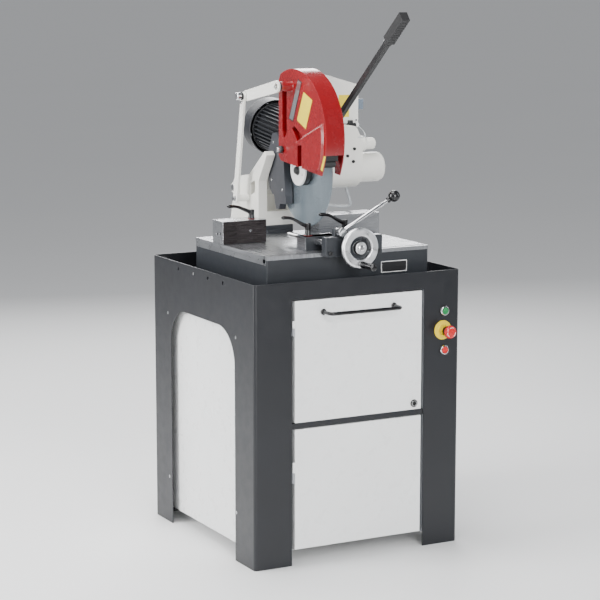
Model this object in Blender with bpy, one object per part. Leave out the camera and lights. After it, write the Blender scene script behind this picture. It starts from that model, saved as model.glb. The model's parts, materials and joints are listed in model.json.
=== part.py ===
"""A manual circular cold saw on a cabinet stand: sheet-steel frame with two doors, cast bed with
fences and a screw vise, swivelling console, and a tilting head with gearbox, motor, blade and guard.

Metres, +Z up.  The origin is on the floor at the centre of the stand's footprint, the doors face
-Y and the blade stands in the plane X = 0.
"""
import math

import bmesh
import bpy
from mathutils import Matrix, Vector

# ---------------------------------------------------------------- driving dimensions
GAP = 0.0003                                  # clearance between touching pieces

STAND_X, STAND_Y, STAND_Z = 0.352, 0.362, 0.860   # half width, half depth, height
SHEET = 0.003
OPENING_X, OPENING_TOP = 0.2275, 0.807        # front and back openings
ARCH_Y, ARCH_TOP, ARCH_R = 0.2310, 0.708, 0.112   # side openings
PANEL_Z = (0.040, 0.805)
TRAY_Z = 0.8085
DOOR_X = 0.2175
DOOR_DEPTH = 0.018
UPPER_DOOR_Z = (0.437, 0.803)
LOWER_DOOR_Z = (0.0495, 0.4165)
HINGE_X, HINGE_Y, HINGE_R = -0.2225, -0.3635, 0.0040
CONTROLS = {                                  # name: centre (x, z) on the right post
    "start": (0.2985, 0.7347),
    "estop": (0.2925, 0.6756),
    "stop": (0.2985, 0.6132),
}

BED_X = (-0.276, 0.283)
BED_Y = (-0.296, 0.200)
BED_Z = (TRAY_Z + SHEET + GAP, 0.930)
FENCE_TOP = 1.001
TURNTABLE_R = 0.184

PIVOT = Vector((0.0, 0.330, 1.066))           # head tilts about this X axis
AXLE = Vector((0.0, -0.021, 1.150))           # blade turns about this X axis
BLADE_R, BLADE_T = 0.175, 0.0025
GUARD_PIVOT = Vector((-0.050, 0.042, 1.211))
GUARD_ARC = (-0.035, 1.255)                   # centre (y, z) of the guard's rim
GUARD_R = 0.209
LINK_FIXED = Vector((-0.100, 0.196, 1.370))   # link arm turns on the post
LINK_FREE = Vector((-0.100, -0.018, 1.410))   # link arm takes the guard's pin

MOTOR_REAR = Vector((0.090, 0.395, 1.256))    # point on the motor axis at its rear
MOTOR_LENGTH = 0.280                          # from there to the motor's front face
MOTOR_TILT = math.radians(7.0)
MOTOR_AXIS = Vector((0.0, -math.cos(MOTOR_TILT), -math.sin(MOTOR_TILT)))

SPINDLE_Z = 0.9475                            # vise spindle runs along Y at X = 0
LEVER_FOOT = Vector((0.080, -0.062, 1.292))
LEVER_TILT = math.radians(39.2)
LEVER_AXIS = Vector((0.0, -math.cos(LEVER_TILT), math.sin(LEVER_TILT)))

COLOURS = {                                   # name: (colour, roughness, metallic)
    "frame_black": ((0.022, 0.024, 0.030), 0.42, 0.0),
    "panel_white": ((0.86, 0.87, 0.86), 0.38, 0.0),
    "cast_dark": ((0.045, 0.050, 0.060), 0.50, 0.2),
    "machined": ((0.55, 0.56, 0.57), 0.32, 1.0),
    "cast_white": ((0.80, 0.80, 0.77), 0.45, 0.0),
    "guard_red": ((0.48, 0.010, 0.014), 0.30, 0.0),
    "black_plastic": ((0.012, 0.012, 0.013), 0.30, 0.0),
    "motor_black": ((0.020, 0.021, 0.026), 0.50, 0.0),
    "cover_grey": ((0.060, 0.062, 0.075), 0.45, 0.0),
    "steel": ((0.58, 0.60, 0.62), 0.25, 1.0),
    "chrome": ((0.80, 0.80, 0.81), 0.10, 1.0),
    "blade_steel": ((0.38, 0.45, 0.50), 0.28, 1.0),
    "bronze": ((0.55, 0.36, 0.14), 0.35, 1.0),
    "button_green": ((0.02, 0.28, 0.10), 0.35, 0.0),
    "button_red": ((0.62, 0.03, 0.02), 0.35, 0.0),
    "collar_yellow": ((0.85, 0.62, 0.02), 0.40, 0.0),
    "hose_grey": ((0.62, 0.65, 0.67), 0.35, 0.0),
}
PLANES = {"X": (1, 2, 0), "Y": (0, 2, 1), "Z": (0, 1, 2)}   # outline axes and extrusion axis


# ---------------------------------------------------------------- helpers
def clear_scene():
    for old in list(bpy.data.objects):
        bpy.data.objects.remove(old, do_unlink=True)


def material(name):
    """Return the named Principled material, made on first use."""
    found = bpy.data.materials.get(name)
    if found:
        return found
    colour, roughness, metallic = COLOURS[name]
    made = bpy.data.materials.new(name)
    made.use_nodes = True
    shader = made.node_tree.nodes["Principled BSDF"]
    shader.inputs["Base Color"].default_value = (*colour, 1.0)
    shader.inputs["Roughness"].default_value = roughness
    shader.inputs["Metallic"].default_value = metallic
    return made


def place(name, bm, finish=None, origin=(0, 0, 0), parent=None):
    """Turn a bmesh in world coordinates into an object with its origin at `origin`."""
    origin = Vector(origin)
    bmesh.ops.recalc_face_normals(bm, faces=bm.faces)
    bmesh.ops.translate(bm, verts=bm.verts, vec=-origin)
    mesh = bpy.data.meshes.new(name)
    bm.to_mesh(mesh)
    bm.free()
    mesh.shade_smooth()
    mesh.set_sharp_from_angle(angle=math.radians(35))
    piece = bpy.data.objects.new(name, mesh)
    bpy.context.scene.collection.objects.link(piece)
    if finish:
        mesh.materials.append(material(finish))
    piece["world_origin"] = tuple(origin)
    if parent:
        piece.parent = parent
        piece.location = origin - Vector(parent["world_origin"])
    else:
        piece.location = origin
    return piece


def boolean(piece, bm, operation):
    """Cut a bmesh out of a piece, or join it on, with a hidden helper object."""
    number = len(piece.modifiers) + 1
    helper = place(f"{piece.name}_helper_{number}", bm, None, (0, 0, 0), piece)
    helper.hide_render = True
    helper.display_type = "WIRE"
    modifier = piece.modifiers.new(f"{operation.lower()}_{number}", "BOOLEAN")
    modifier.operation = operation
    modifier.solver = "EXACT"
    modifier.object = helper


def cut(piece, *shapes):
    for shape in shapes:
        boolean(piece, shape, "DIFFERENCE")


def join(piece, *shapes):
    for shape in shapes:
        boolean(piece, shape, "UNION")


def block(low, high):
    bm = bmesh.new()
    bmesh.ops.create_cube(bm, size=1.0)
    low, high = Vector(low), Vector(high)
    size = high - low
    bmesh.ops.transform(bm, matrix=Matrix.Translation((low + high) / 2) @ Matrix.Diagonal((*size, 1)),
                        verts=bm.verts)
    return bm


def extrusion(outline, axis, start, end):
    """Extrude a closed outline along an axis; outline pairs are the other two axes in order."""
    first, second, along = PLANES[axis]
    bm = bmesh.new()
    corners = []
    for a, b in outline:
        point = [0.0, 0.0, 0.0]
        point[first], point[second], point[along] = a, b, start
        corners.append(bm.verts.new(point))
    face = bm.faces.new(corners)
    swept = bmesh.ops.extrude_face_region(bm, geom=[face])
    shift = Vector((0, 0, 0))
    shift[along] = end - start
    moved = [item for item in swept["geom"] if isinstance(item, bmesh.types.BMVert)]
    bmesh.ops.translate(bm, verts=moved, vec=shift)
    return bm


def along(start, direction):
    """Matrix that takes +Z at the origin to `direction` at `start`."""
    turn = Vector(direction).to_track_quat("Z", "Y").to_matrix().to_4x4()
    return Matrix.Translation(start) @ turn


def turned(profile, start, direction, segments=24):
    """Spin a closed profile of (radius, distance) pairs about the axis from `start`."""
    bm = bmesh.new()
    loop = [bm.verts.new((radius, 0.0, distance)) for radius, distance in profile]
    edges = [bm.edges.new((loop[i], loop[(i + 1) % len(loop)])) for i in range(len(loop))]
    bmesh.ops.spin(bm, geom=loop + edges, cent=(0, 0, 0), axis=(0, 0, 1), angle=2 * math.pi,
                   steps=segments, use_merge=False)
    bmesh.ops.remove_doubles(bm, verts=bm.verts, dist=1e-5)
    bmesh.ops.dissolve_degenerate(bm, edges=bm.edges, dist=1e-6)
    bmesh.ops.transform(bm, matrix=along(start, direction), verts=bm.verts)
    return bm


def rod(start, end, radius, segments=16):
    """Solid cylinder between two points."""
    start, end = Vector(start), Vector(end)
    bm = bmesh.new()
    length = (end - start).length
    bmesh.ops.create_cone(bm, cap_ends=True, segments=segments, radius1=radius, radius2=radius,
                          depth=length)
    bmesh.ops.transform(bm, matrix=along((start + end) / 2, end - start), verts=bm.verts)
    return bm


def bar(start, end, width, depth, side=(1, 0, 0)):
    """Rectangular bar between two points; `width` is measured along `side`."""
    start, end = Vector(start), Vector(end)
    run = (end - start).normalized()
    side = Vector(side).normalized()
    third = run.cross(side)
    turn = Matrix((side, third, run)).transposed().to_4x4()
    bm = bmesh.new()
    bmesh.ops.create_cube(bm, size=1.0)
    size = Matrix.Diagonal((width, depth, (end - start).length, 1))
    bmesh.ops.transform(bm, matrix=Matrix.Translation((start + end) / 2) @ turn @ size, verts=bm.verts)
    return bm


def arc(centre, radius, first, last, steps):
    """Points on a circle from angle `first` to `last`, in degrees."""
    angles = [math.radians(first + (last - first) * i / steps) for i in range(steps + 1)]
    return [(centre[0] + radius * math.cos(a), centre[1] + radius * math.sin(a)) for a in angles]


def rounded(low, high, radius, steps=3):
    """Rounded rectangle outline from its low and high corners."""
    (x0, y0), (x1, y1) = low, high
    return (arc((x1 - radius, y0 + radius), radius, -90, 0, steps)
            + arc((x1 - radius, y1 - radius), radius, 0, 90, steps)
            + arc((x0 + radius, y1 - radius), radius, 90, 180, steps)
            + arc((x0 + radius, y0 + radius), radius, 180, 270, steps))


def smooth_route(points, spacing):
    """Catmull-Rom curve through hand-set points, sampled about every `spacing`."""
    pts = [Vector(p) for p in points]
    pts = [2 * pts[0] - pts[1]] + pts + [2 * pts[-1] - pts[-2]]
    route = []
    for i in range(1, len(pts) - 2):
        a, b, c, d = pts[i - 1:i + 3]
        count = max(2, round((c - b).length / spacing))
        for k in range(count):
            t = k / count
            route.append(0.5 * (2 * b + (c - a) * t + (2 * a - 5 * b + 4 * c - d) * t * t
                                + (3 * b - 3 * c + d - a) * t ** 3))
    return route + [pts[-2]]


def tube_curve(name, points, radius, finish, resolution=2, parent=None):
    """Round tube along a list of points, as a bevelled curve with filled caps."""
    data = bpy.data.curves.new(name, "CURVE")
    data.dimensions = "3D"
    data.bevel_depth = radius
    data.bevel_resolution = resolution
    data.use_fill_caps = True
    spline = data.splines.new("POLY")
    spline.points.add(len(points) - 1)
    for point, target in zip(spline.points, points):
        point.co = (*target, 1.0)
    data.materials.append(material(finish))
    piece = bpy.data.objects.new(name, data)
    bpy.context.scene.collection.objects.link(piece)
    piece["world_origin"] = (0.0, 0.0, 0.0)
    if parent:
        piece.parent = parent
        piece.location = -Vector(parent["world_origin"])
    return piece


# ---------------------------------------------------------------- stand
def build_stand():
    x, y = STAND_X, STAND_Y
    frame = place("stand_frame", extrusion(rounded((-x, -y), (x, y), 0.010), "Z", 0, STAND_Z),
                  "frame_black")
    inner = rounded((-x + SHEET, -y + SHEET), (x - SHEET, y - SHEET), 0.007)
    arch = ([(-ARCH_Y, -0.01), (ARCH_Y, -0.01)]
            + arc((ARCH_Y - ARCH_R, ARCH_TOP - ARCH_R), ARCH_R, 0, 90, 8)
            + arc((-ARCH_Y + ARCH_R, ARCH_TOP - ARCH_R), ARCH_R, 90, 180, 8))
    cut(frame, extrusion(inner, "Z", -0.01, STAND_Z + 0.01),
        block((-OPENING_X, -0.4, -0.01), (OPENING_X, 0.4, OPENING_TOP)),
        extrusion(arch, "X", -0.4, 0.4))
    for hole_y in (-0.153, -0.047, 0.060, 0.167):
        cut(frame, rod((-0.4, hole_y, 0.8385), (0.4, hole_y, 0.8385), 0.006, 8))
    for centre_x, centre_z in CONTROLS.values():
        cut(frame, rod((centre_x, -0.37, centre_z), (centre_x, -0.35, centre_z), 0.0114, 12))
    gap_low, gap_high = LOWER_DOOR_Z[1] + 0.002, UPPER_DOOR_Z[0] - 0.002
    cross_bar = block((-0.240, -y + SHEET - 0.0005, gap_low), (0.240, -0.345, gap_high))
    join(frame, cross_bar)

    inside = STAND_X - SHEET - 0.0005
    tray = rounded((-inside, -STAND_Y + SHEET + 0.0005), (inside, STAND_Y - SHEET - 0.0005), 0.0075)
    place("tray_floor", extrusion(tray, "Z", TRAY_Z, TRAY_Z + SHEET), "frame_black")
    low, high = PANEL_Z
    for side, label in ((-1, "left"), (1, "right")):
        edges = sorted((side * 0.328, side * 0.326))
        place(f"side_panel_{label}", block((edges[0], -0.335, low), (edges[1], 0.335, high)),
              "panel_white")
    back = place("cabinet_back", block((-0.328, 0.3353, low), (0.328, 0.3373, high)), "panel_white")
    cabinet_bottom = block((-0.3255, -0.335, low), (0.3255, 0.3360, low + 0.003))
    join(back, cabinet_bottom)


def build_controls():
    """Two push buttons and a mushroom emergency stop on the right post."""
    face = -STAND_Y - GAP
    for label, colour in (("start", "button_green"), ("stop", "button_red")):
        x, z = CONTROLS[label]
        body = [(0.0065, 0.007), (0.0112, 0.0065), (0.0112, 0.0), (0.0149, 0.0), (0.0149, 0.007),
                (0.0110, 0.007), (0.0110, 0.040), (0.0, 0.040), (0.0, 0.026), (0.0065, 0.026)]
        place(f"{label}_button_body", turned(body, (x, face - 0.007, z), (0, 1, 0), 16), "steel")
        cap = [(0.0, -0.0023), (0.0085, -0.0023), (0.0105, -0.0010), (0.0105, 0.0030), (0.0060, 0.0030),
               (0.0060, 0.0200), (0.0, 0.0200)]
        place(f"{label}_button", turned(cap, (x, face - 0.007, z), (0, 1, 0), 16), colour, (x, face, z))
    x, z = CONTROLS["estop"]
    collar = [(0.0085, 0.0), (0.0160, 0.0), (0.0160, 0.018), (0.0300, 0.018), (0.0300, 0.022),
              (0.0110, 0.022), (0.0110, 0.070), (0.0, 0.070), (0.0, 0.036), (0.0085, 0.036)]
    place("estop_collar", turned(collar, (x, face - 0.022, z), (0, 1, 0), 20), "collar_yellow")
    mushroom = [(0.0, 0.0), (0.0120, 0.0012), (0.0180, 0.0045), (0.0200, 0.0090), (0.0190, 0.0150),
                (0.0150, 0.0180), (0.0080, 0.0180), (0.0080, 0.0620), (0.0, 0.0620)]
    place("estop_button", turned(mushroom, (x, face - 0.055, z), (0, 1, 0), 20), "button_red",
          (x, face, z))


def knuckle(z_low, z_high, first, last):
    """Ends of one knuckle of a lift-off hinge, between two fractions of its height."""
    base = z_low + (z_high - z_low) * first
    top = z_low + (z_high - z_low) * last
    return Vector((HINGE_X, HINGE_Y, base)), Vector((HINGE_X, HINGE_Y, top))


def build_doors():
    """Two lipped sheet doors on lift-off hinges, with a lock and a bar handle on the upper one."""
    hinge_spans = {"upper": (0.700, 0.745), "lower": (0.253, 0.318)}
    doors = {}
    for label, (low, high) in (("upper", UPPER_DOOR_Z), ("lower", LOWER_DOOR_Z)):
        front = -STAND_Y
        door = place(f"{label}_door", block((-DOOR_X, front, low), (DOOR_X, front + DOOR_DEPTH, high)),
                     "panel_white", (HINGE_X, HINGE_Y, low))
        cut(door, block((-DOOR_X + 0.002, front + 0.002, low + 0.002),
                        (DOOR_X - 0.002, front + 0.05, high - 0.002)))
        span = hinge_spans[label]
        start, end = knuckle(*span, 0.52, 1.0)
        join(door, rod(start, end, HINGE_R, 12),
             block((HINGE_X, front + 0.0005, start.z), (-DOOR_X + 0.001, front + 0.0020, end.z)))
        cut(door, rod(start - Vector((0, 0, 0.001)), end - Vector((0, 0, 0.004)), 0.0024, 12))
        start, end = knuckle(*span, 0.0, 0.50)
        pin = place(f"{label}_door_hinge", rod(start, end, HINGE_R, 12), "frame_black")
        join(pin, rod(start, (HINGE_X, HINGE_Y, span[1] - 0.006), 0.0020, 12),
             block((-OPENING_X + GAP, front + 0.0005, start.z), (HINGE_X, front + 0.0020, end.z)))
        doors[label] = door

    upper = doors["upper"]
    lock_x, lock_z = 0.1925, 0.4560
    cut(upper, rod((lock_x, -0.37, lock_z), (lock_x, -0.35, lock_z), 0.0085, 12))
    lock = [(0.0, 0.0), (0.0105, 0.0), (0.0120, 0.0012), (0.0120, 0.0040), (0.0080, 0.0040),
            (0.0080, 0.0240), (0.0, 0.0240)]
    lock_start = (lock_x, -STAND_Y - GAP - 0.004, lock_z)
    latch = place("door_lock", turned(lock, lock_start, (0, 1, 0), 16), "black_plastic",
                  (lock_x, -STAND_Y, lock_z), upper)
    cam = block((lock_x - 0.0070, -0.3440, lock_z - 0.0165), (lock_x + 0.0070, -0.3412, lock_z + 0.0060))
    join(latch, cam)

    foot, out, height, bend = -STAND_Y - GAP, -0.410, 0.7648, 0.012
    left, right = -0.1228, 0.1190
    corner = [(left, foot), (left, out + bend)]
    corner += [(left + bend - bend * math.cos(a), out + bend - bend * math.sin(a))
               for a in (math.pi / 8, math.pi / 4, 3 * math.pi / 8)]
    corner += [(left + bend, out)]
    mirrored = [(left + right - px, py) for px, py in reversed(corner)]
    route = [Vector((px, py, height)) for px, py in corner + mirrored]
    tube_curve("door_handle", route, 0.0055, "black_plastic", 2, upper)


def build_coolant_tank():
    low, high = Vector((-0.240, -0.220, PANEL_Z[0] + 0.003 + GAP)), Vector((0.060, 0.160, 0.240))
    wall = Vector((SHEET, SHEET, SHEET))
    tank = place("coolant_tank", block(low, high), "frame_black")
    cut(tank, block(low + wall, high - wall + Vector((0, 0, 0.020))))
    pump = [(0.0, 0.0), (0.028, 0.0), (0.028, 0.150), (0.062, 0.150), (0.062, 0.156), (0.048, 0.156),
            (0.048, 0.270), (0.040, 0.280), (0.0, 0.280)]
    place("coolant_pump", turned(pump, (-0.160, 0.080, 0.0466), (0, 0, 1), 20), "motor_black")


# ---------------------------------------------------------------- bed, fences and vise
def build_bed():
    (x0, x1), (y0, y1), (z0, z1) = BED_X, BED_Y, BED_Z
    chamfer = 0.008
    outline = [(x0, y0), (x1 - chamfer, y0), (x1, y0 + chamfer), (x1, y1), (x0, y1)]
    bed = place("bed", extrusion(outline, "Z", z0, z1), "cast_dark")
    neck, wide, slot_y = 0.0045, 0.0085, -0.277
    tee = [(slot_y - neck, z1 + 0.01), (slot_y - neck, z1 - 0.011), (slot_y - wide, z1 - 0.011),
           (slot_y - wide, z1 - 0.022), (slot_y + wide, z1 - 0.022), (slot_y + wide, z1 - 0.011),
           (slot_y + neck, z1 - 0.011), (slot_y + neck, z1 + 0.01)]
    cut(bed, block((x0 + 0.014, y0 + 0.014, z0 - 0.01), (x1 - 0.014, y1 - 0.014, z1 - 0.046)),
        rod((0, 0, z1 - 0.022), (0, 0, z1 + 0.01), TURNTABLE_R + 0.0006, 48),
        rod((0, 0, 0.87), (0, 0, 0.92), 0.0302, 24),
        extrusion(tee, "X", x0 - 0.01, x1 + 0.01))


def build_fences():
    low = BED_Z[1] + GAP
    left = place("fence_left", block((-0.276, 0.0, low), (-0.127, 0.075, FENCE_TOP)), "machined")
    for hole_y, hole_z in ((0.0440, 0.9600), (0.0200, 0.9640)):
        cut(left, rod((-0.30, hole_y, hole_z), (-0.262, hole_y, hole_z), 0.0045, 10))
    cut(left, rod((-0.161, 0.036, 0.985), (-0.161, 0.036, 1.01), 0.0045, 10))
    place("fence_right", block((0.058, 0.0, low), (0.277, 0.075, FENCE_TOP)), "machined")


def clamp_lever(name, base, hub_height, parent=None):
    """Black clamping lever: an upright hub on a stud and a bent arm along -X."""
    base = Vector(base)
    hub = [(0.0, -0.012), (0.0040, -0.012), (0.0040, GAP), (0.0105, GAP), (0.0105, hub_height - 0.004),
           (0.0080, hub_height), (0.0, hub_height)]
    lever = place(name, turned(hub, base, (0, 0, 1), 14), "black_plastic", base, parent)
    tip_rise, length = hub_height + 0.019, 0.090
    arm = [(-0.004, hub_height - 0.014), (-0.030, hub_height - 0.006), (-0.062, tip_rise - 0.014),
           (-length, tip_rise - 0.009), (-length - 0.001, tip_rise - 0.001), (-0.060, tip_rise - 0.004),
           (-0.028, hub_height + 0.004), (-0.004, hub_height - 0.001)]
    outline = [(base.x + px, base.z + pz) for px, pz in arm]
    join(lever, extrusion(outline, "Y", base.y - 0.006, base.y + 0.006))


def build_vise():
    """Screw vise on the bed's front edge: bracket, rods, jaw, spindle, handwheel and quick lever."""
    y_front, y_back = -0.3230, BED_Y[0] - GAP
    bracket = place("vise_bracket", block((-0.093, y_front, 0.920), (0.100, y_back, 0.978)), "cast_dark")
    ear_x, ear_z = -0.045, 0.9945
    join(bracket, block((ear_x - 0.014, -0.3130, 0.970), (ear_x + 0.014, y_back, 1.007)))
    cut(bracket, rod((0, -0.35, SPINDLE_Z), (0, -0.28, SPINDLE_Z), 0.0094, 24),
        rod((ear_x, -0.35, ear_z), (ear_x, -0.28, ear_z), 0.0064, 16))
    for label, x, end_y in (("left", -0.078, -0.060), ("right", 0.085, -0.135)):
        place(f"vise_rod_{label}", rod((x, y_back + GAP, 0.957), (x, end_y, 0.957), 0.009, 20), "chrome")

    jaw = place("vise_jaw", block((-0.116, -0.240, BED_Z[1] + GAP), (0.116, -0.180, 0.972)), "cast_dark",
                (0, -0.210, SPINDLE_Z))
    for x, radius in ((-0.078, 0.0094), (0.085, 0.0094), (0.0, 0.0094)):
        height = SPINDLE_Z if x == 0.0 else 0.957
        cut(jaw, rod((x, -0.26, height), (x, -0.16, height), radius, 20))
    for x in (-0.092, 0.035):
        cut(jaw, rod((x, -0.207, 0.955), (x, -0.207, 0.98), 0.0045, 10))
    clamp_lever("jaw_lever_left", (-0.092, -0.207, 0.972), 0.038, jaw)
    clamp_lever("jaw_lever_right", (0.035, -0.207, 0.972), 0.041, jaw)

    spindle = [(0.0, 0.0), (0.0090, 0.0), (0.0090, 0.1735), (0.0230, 0.1735), (0.0230, 0.1950),
               (0.0150, 0.1950), (0.0150, 0.1985), (0.0, 0.1985)]
    place("vise_spindle", turned(spindle, (0, -0.1500, SPINDLE_Z), (0, -1, 0), 20), "chrome",
          (0, -0.33, SPINDLE_Z))
    wheel = [(0.0, 0.0), (0.0180, 0.0), (0.0180, 0.006), (0.0440, 0.006), (0.0450, 0.0), (0.0580, 0.002),
             (0.0580, 0.012), (0.0540, 0.020), (0.0400, 0.020), (0.0360, 0.012), (0.0190, 0.012),
             (0.0180, 0.024), (0.0, 0.024)]
    wheel_start = Vector((0, -0.3488, SPINDLE_Z))
    handwheel = place("handwheel", turned(wheel, wheel_start, (0, -1, 0), 28), "machined",
                      (0, -0.36, SPINDLE_Z))
    window = arc((0, SPINDLE_Z), 0.0355, -20, 72, 5) + arc((0, SPINDLE_Z), 0.0215, 72, -20, 4)
    cut(handwheel, extrusion(window, "Y", -0.39, -0.34))
    grip_z = SPINDLE_Z - 0.0480
    cut(handwheel, rod((0, -0.39, grip_z), (0, -0.34, grip_z), 0.0046, 12))
    grip = [(0.0, -0.012), (0.0042, -0.012), (0.0042, 0.001), (0.0090, 0.001), (0.0105, 0.020),
            (0.0095, 0.045), (0.0115, 0.072), (0.0085, 0.082), (0.0, 0.083)]
    place("handwheel_grip", turned(grip, (0, -0.3695, grip_z), (0, -1, 0), 16), "black_plastic",
          (0, -0.37, grip_z), handwheel)

    hub = [(0.0, 0.0), (0.0060, 0.0), (0.0060, 0.0156), (0.0140, 0.0156), (0.0140, 0.0440), (0.0, 0.0440)]
    lever = place("quick_lever", turned(hub, (ear_x, y_back - 0.0015, ear_z), (0, -1, 0), 20), "chrome",
                  (ear_x, -0.32, ear_z))
    knob = Vector((0.1360, -0.3300, 1.0920))
    root = Vector((ear_x, -0.3300, ear_z))
    run = (knob - root).normalized()
    join(lever, rod(root + run * 0.004, knob - run * 0.0160, 0.0060, 12))
    ball = ([(0.0, 0.0)] + [(0.0180 * math.sin(a), 0.0180 - 0.0180 * math.cos(a))
                            for a in (math.pi * i / 8 for i in range(1, 8))] + [(0.0, 0.0360)])
    join(lever, turned(ball, knob - run * 0.0180, run, 16))


# ---------------------------------------------------------------- turntable and console
def build_turntable():
    """Swivel plate with the console, pivot shaft, spring, guard post and guard link."""
    top = BED_Z[1] - GAP
    disc = [(0.0, -0.045), (0.0298, -0.045), (0.0298, -0.0214), (TURNTABLE_R, -0.0214),
            (TURNTABLE_R, 0.0), (0.0, 0.0)]
    table = place("turntable", turned(disc, (0, 0, top), (0, 0, 1), 48), "machined")
    join(table, block((-0.040, 0.168, 0.920), (0.040, 0.179, 0.940)),
         block((-0.062, 0.176, top + 0.0009), (0.062, 0.385, 0.955)))
    cut(table, block((-0.004, -0.125, 0.9108), (0.004, 0.065, 0.940)))

    seat = 0.955 + GAP
    boss = (PIVOT.y, PIVOT.z)
    tall = ([(0.180, seat), (0.180, 1.100), (0.122, 1.186), (0.136, 1.198), (0.245, 1.116)]
            + arc(boss, 0.036, 80, -30, 6) + [(0.385, seat)])
    short = ([(0.180, seat), (0.180, 1.000), (0.280, 1.080)] + arc(boss, 0.036, 100, -30, 6)
             + [(0.385, seat)])
    console = place("console", extrusion(list(reversed(tall)), "X", -0.064, -0.034), "cast_white",
                    (0, 0, 0), table)
    join(console, extrusion(list(reversed(short)), "X", 0.044, 0.064),
         block((-0.050, 0.180, seat), (0.050, 0.385, 0.975)),
         block((-0.050, 0.1805, 0.960), (0.050, 0.194, 1.000)),
         rod((-0.080, *boss), (-0.050, *boss), 0.017, 24),
         extrusion([(-0.062, 1.000), (-0.0785, 1.060), (-0.050, 1.060), (-0.050, 1.000)], "Y",
                   PIVOT.y - 0.011, PIVOT.y + 0.011))
    window = [(0.205, 1.062), (0.238, 1.048), (0.238, 1.088), (0.205, 1.100)]
    cut(console, rod((-0.12, *boss), (0.10, *boss), 0.0123, 20), extrusion(window, "X", -0.10, -0.02))
    place("pivot_shaft", rod((-0.083, *boss), (0.068, *boss), 0.0120, 20), "steel", PIVOT, table)

    turns, coil_r, wire_r = 5, 0.0180, 0.0021
    start_x, end_x = 0.0160, 0.0410
    count = turns * 9
    coil = []
    for i in range(count + 1):
        angle = 2 * math.pi * turns * i / count
        coil.append(Vector((start_x + (end_x - start_x) * i / count,
                            PIVOT.y + coil_r * math.cos(angle), PIVOT.z + coil_r * math.sin(angle))))
    tube_curve("return_spring", coil, wire_r, "steel", 1, table)

    foot, head = Vector((-0.108, 0.253, 1.040)), Vector((-0.108, LINK_FIXED.y, LINK_FIXED.z))
    run = (head - foot).normalized()
    post = place("guard_post", bar(foot - run * 0.014, head + run * 0.012, 0.008, 0.028), "cast_white",
                 foot, table)
    join(post, rod((-0.106, foot.y, foot.z), (-0.064 - GAP, foot.y, foot.z), 0.0110, 16),
         rod((-0.120, foot.y, foot.z), (-0.106, foot.y, foot.z), 0.0085, 12),
         rod((-0.106, head.y, head.z), (-0.0900, head.y, head.z), 0.0060, 16),
         rod((-0.134, head.y, head.z), (-0.106, head.y, head.z), 0.0122, 20))

    fixed, free = (LINK_FIXED.y, LINK_FIXED.z), (LINK_FREE.y, LINK_FREE.z)
    lean = math.degrees(math.atan2(free[1] - fixed[1], free[0] - fixed[0]))
    outline = arc(free, 0.019, lean - 90, lean + 90, 8) + arc(fixed, 0.017, lean + 90, lean + 270, 8)
    link = place("guard_link", extrusion(outline, "X", -0.1030, -0.0960), "cast_white", LINK_FIXED, table)
    cut(link, rod((-0.11, *fixed), (-0.09, *fixed), 0.0064, 16),
        rod((-0.11, *free), (-0.09, *free), 0.0098, 16))
    return table


# ---------------------------------------------------------------- head
def motor_point(distance):
    """Point on the motor axis, measured forwards from the motor's rear."""
    return MOTOR_REAR + MOTOR_AXIS * distance


def gearbox_outline(inset):
    """Side outline (y, z) of the gearbox, pulled in by `inset`."""
    axle = (AXLE.y, AXLE.z)
    front, back, top = -0.081 + inset, 0.100 - inset, 1.285 - inset
    return ([(front, top)] + arc(axle, 0.060 - inset, 180, 270, 8)
            + [(back, AXLE.z - 0.060 + inset), (back, top)])


def build_gearbox():
    """Worm gearbox casting with its cover and bearing, and the arm that reaches back to the pivot."""
    housing = place("gearbox_housing", extrusion(gearbox_outline(0.0), "X", 0.0203, 0.170), "cast_white",
                    PIVOT)
    axle = (AXLE.y, AXLE.z)
    bell = [(0.0, 0.0), (0.047, 0.0), (0.047, 0.084), (0.041, 0.093), (0.030, 0.096), (0.0, 0.096)]
    knob = [(0.0, 0.0), (0.0240, 0.0), (0.0240, 0.045), (0.0185, 0.047), (0.0185, 0.076), (0.0145, 0.081),
            (0.0, 0.081)]
    join(housing, turned(bell, (0.160, *axle), (1, 0, 0), 24),
         rod(motor_point(MOTOR_LENGTH + GAP), motor_point(MOTOR_LENGTH + 0.025), 0.055, 24))
    shoulder = [(0.128, 1.300), (0.180, 1.300), (0.180, 1.236), (0.168, 1.240), (0.150, 1.276)]
    cut(housing, extrusion(shoulder, "Y", -0.10, 0.11),
        extrusion(gearbox_outline(0.009), "X", 0.010, 0.120),
        rod((0.10, *axle), (0.246, *axle), 0.0352, 24),
        rod(motor_point(MOTOR_LENGTH - 0.02), motor_point(MOTOR_LENGTH + 0.06), 0.0142, 20))
    join(housing, turned(knob, (0.150, -0.040, 1.226), (1, 0, 0), 18))
    cover = place("gearbox_cover", extrusion(gearbox_outline(0.004), "X", 0.0160, 0.0200), "cast_white",
                  PIVOT, housing)
    cut(cover, rod((0.01, *axle), (0.03, *axle), 0.0156, 24))
    bearing = [(0.0156, 0.0), (0.0348, 0.0), (0.0348, 0.018), (0.0156, 0.018)]
    place("arbor_bearing", turned(bearing, (0.180, *axle), (1, 0, 0), 24), "steel", AXLE, housing)

    boss = (PIVOT.y, PIVOT.z)
    nose = [(0.100 + GAP, 1.096), (0.215, 1.062), (0.215, 1.124), (0.100 + GAP, 1.148)]
    arm = place("head_arm", extrusion(nose, "X", 0.0078, 0.0385), "cast_white", PIVOT, housing)
    tail = [(0.185, 1.071), (0.300, 1.040), (0.300, 1.094), (0.185, 1.130)]
    join(arm, extrusion(tail, "X", -0.028, 0.0385), rod((-0.031, *boss), (0.0130, *boss), 0.034, 24))
    cut(arm, rod((-0.04, *boss), (0.05, *boss), 0.0123, 20),
        rod((0.0130, *boss), (0.05, *boss), 0.0235, 24))
    return housing


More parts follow.
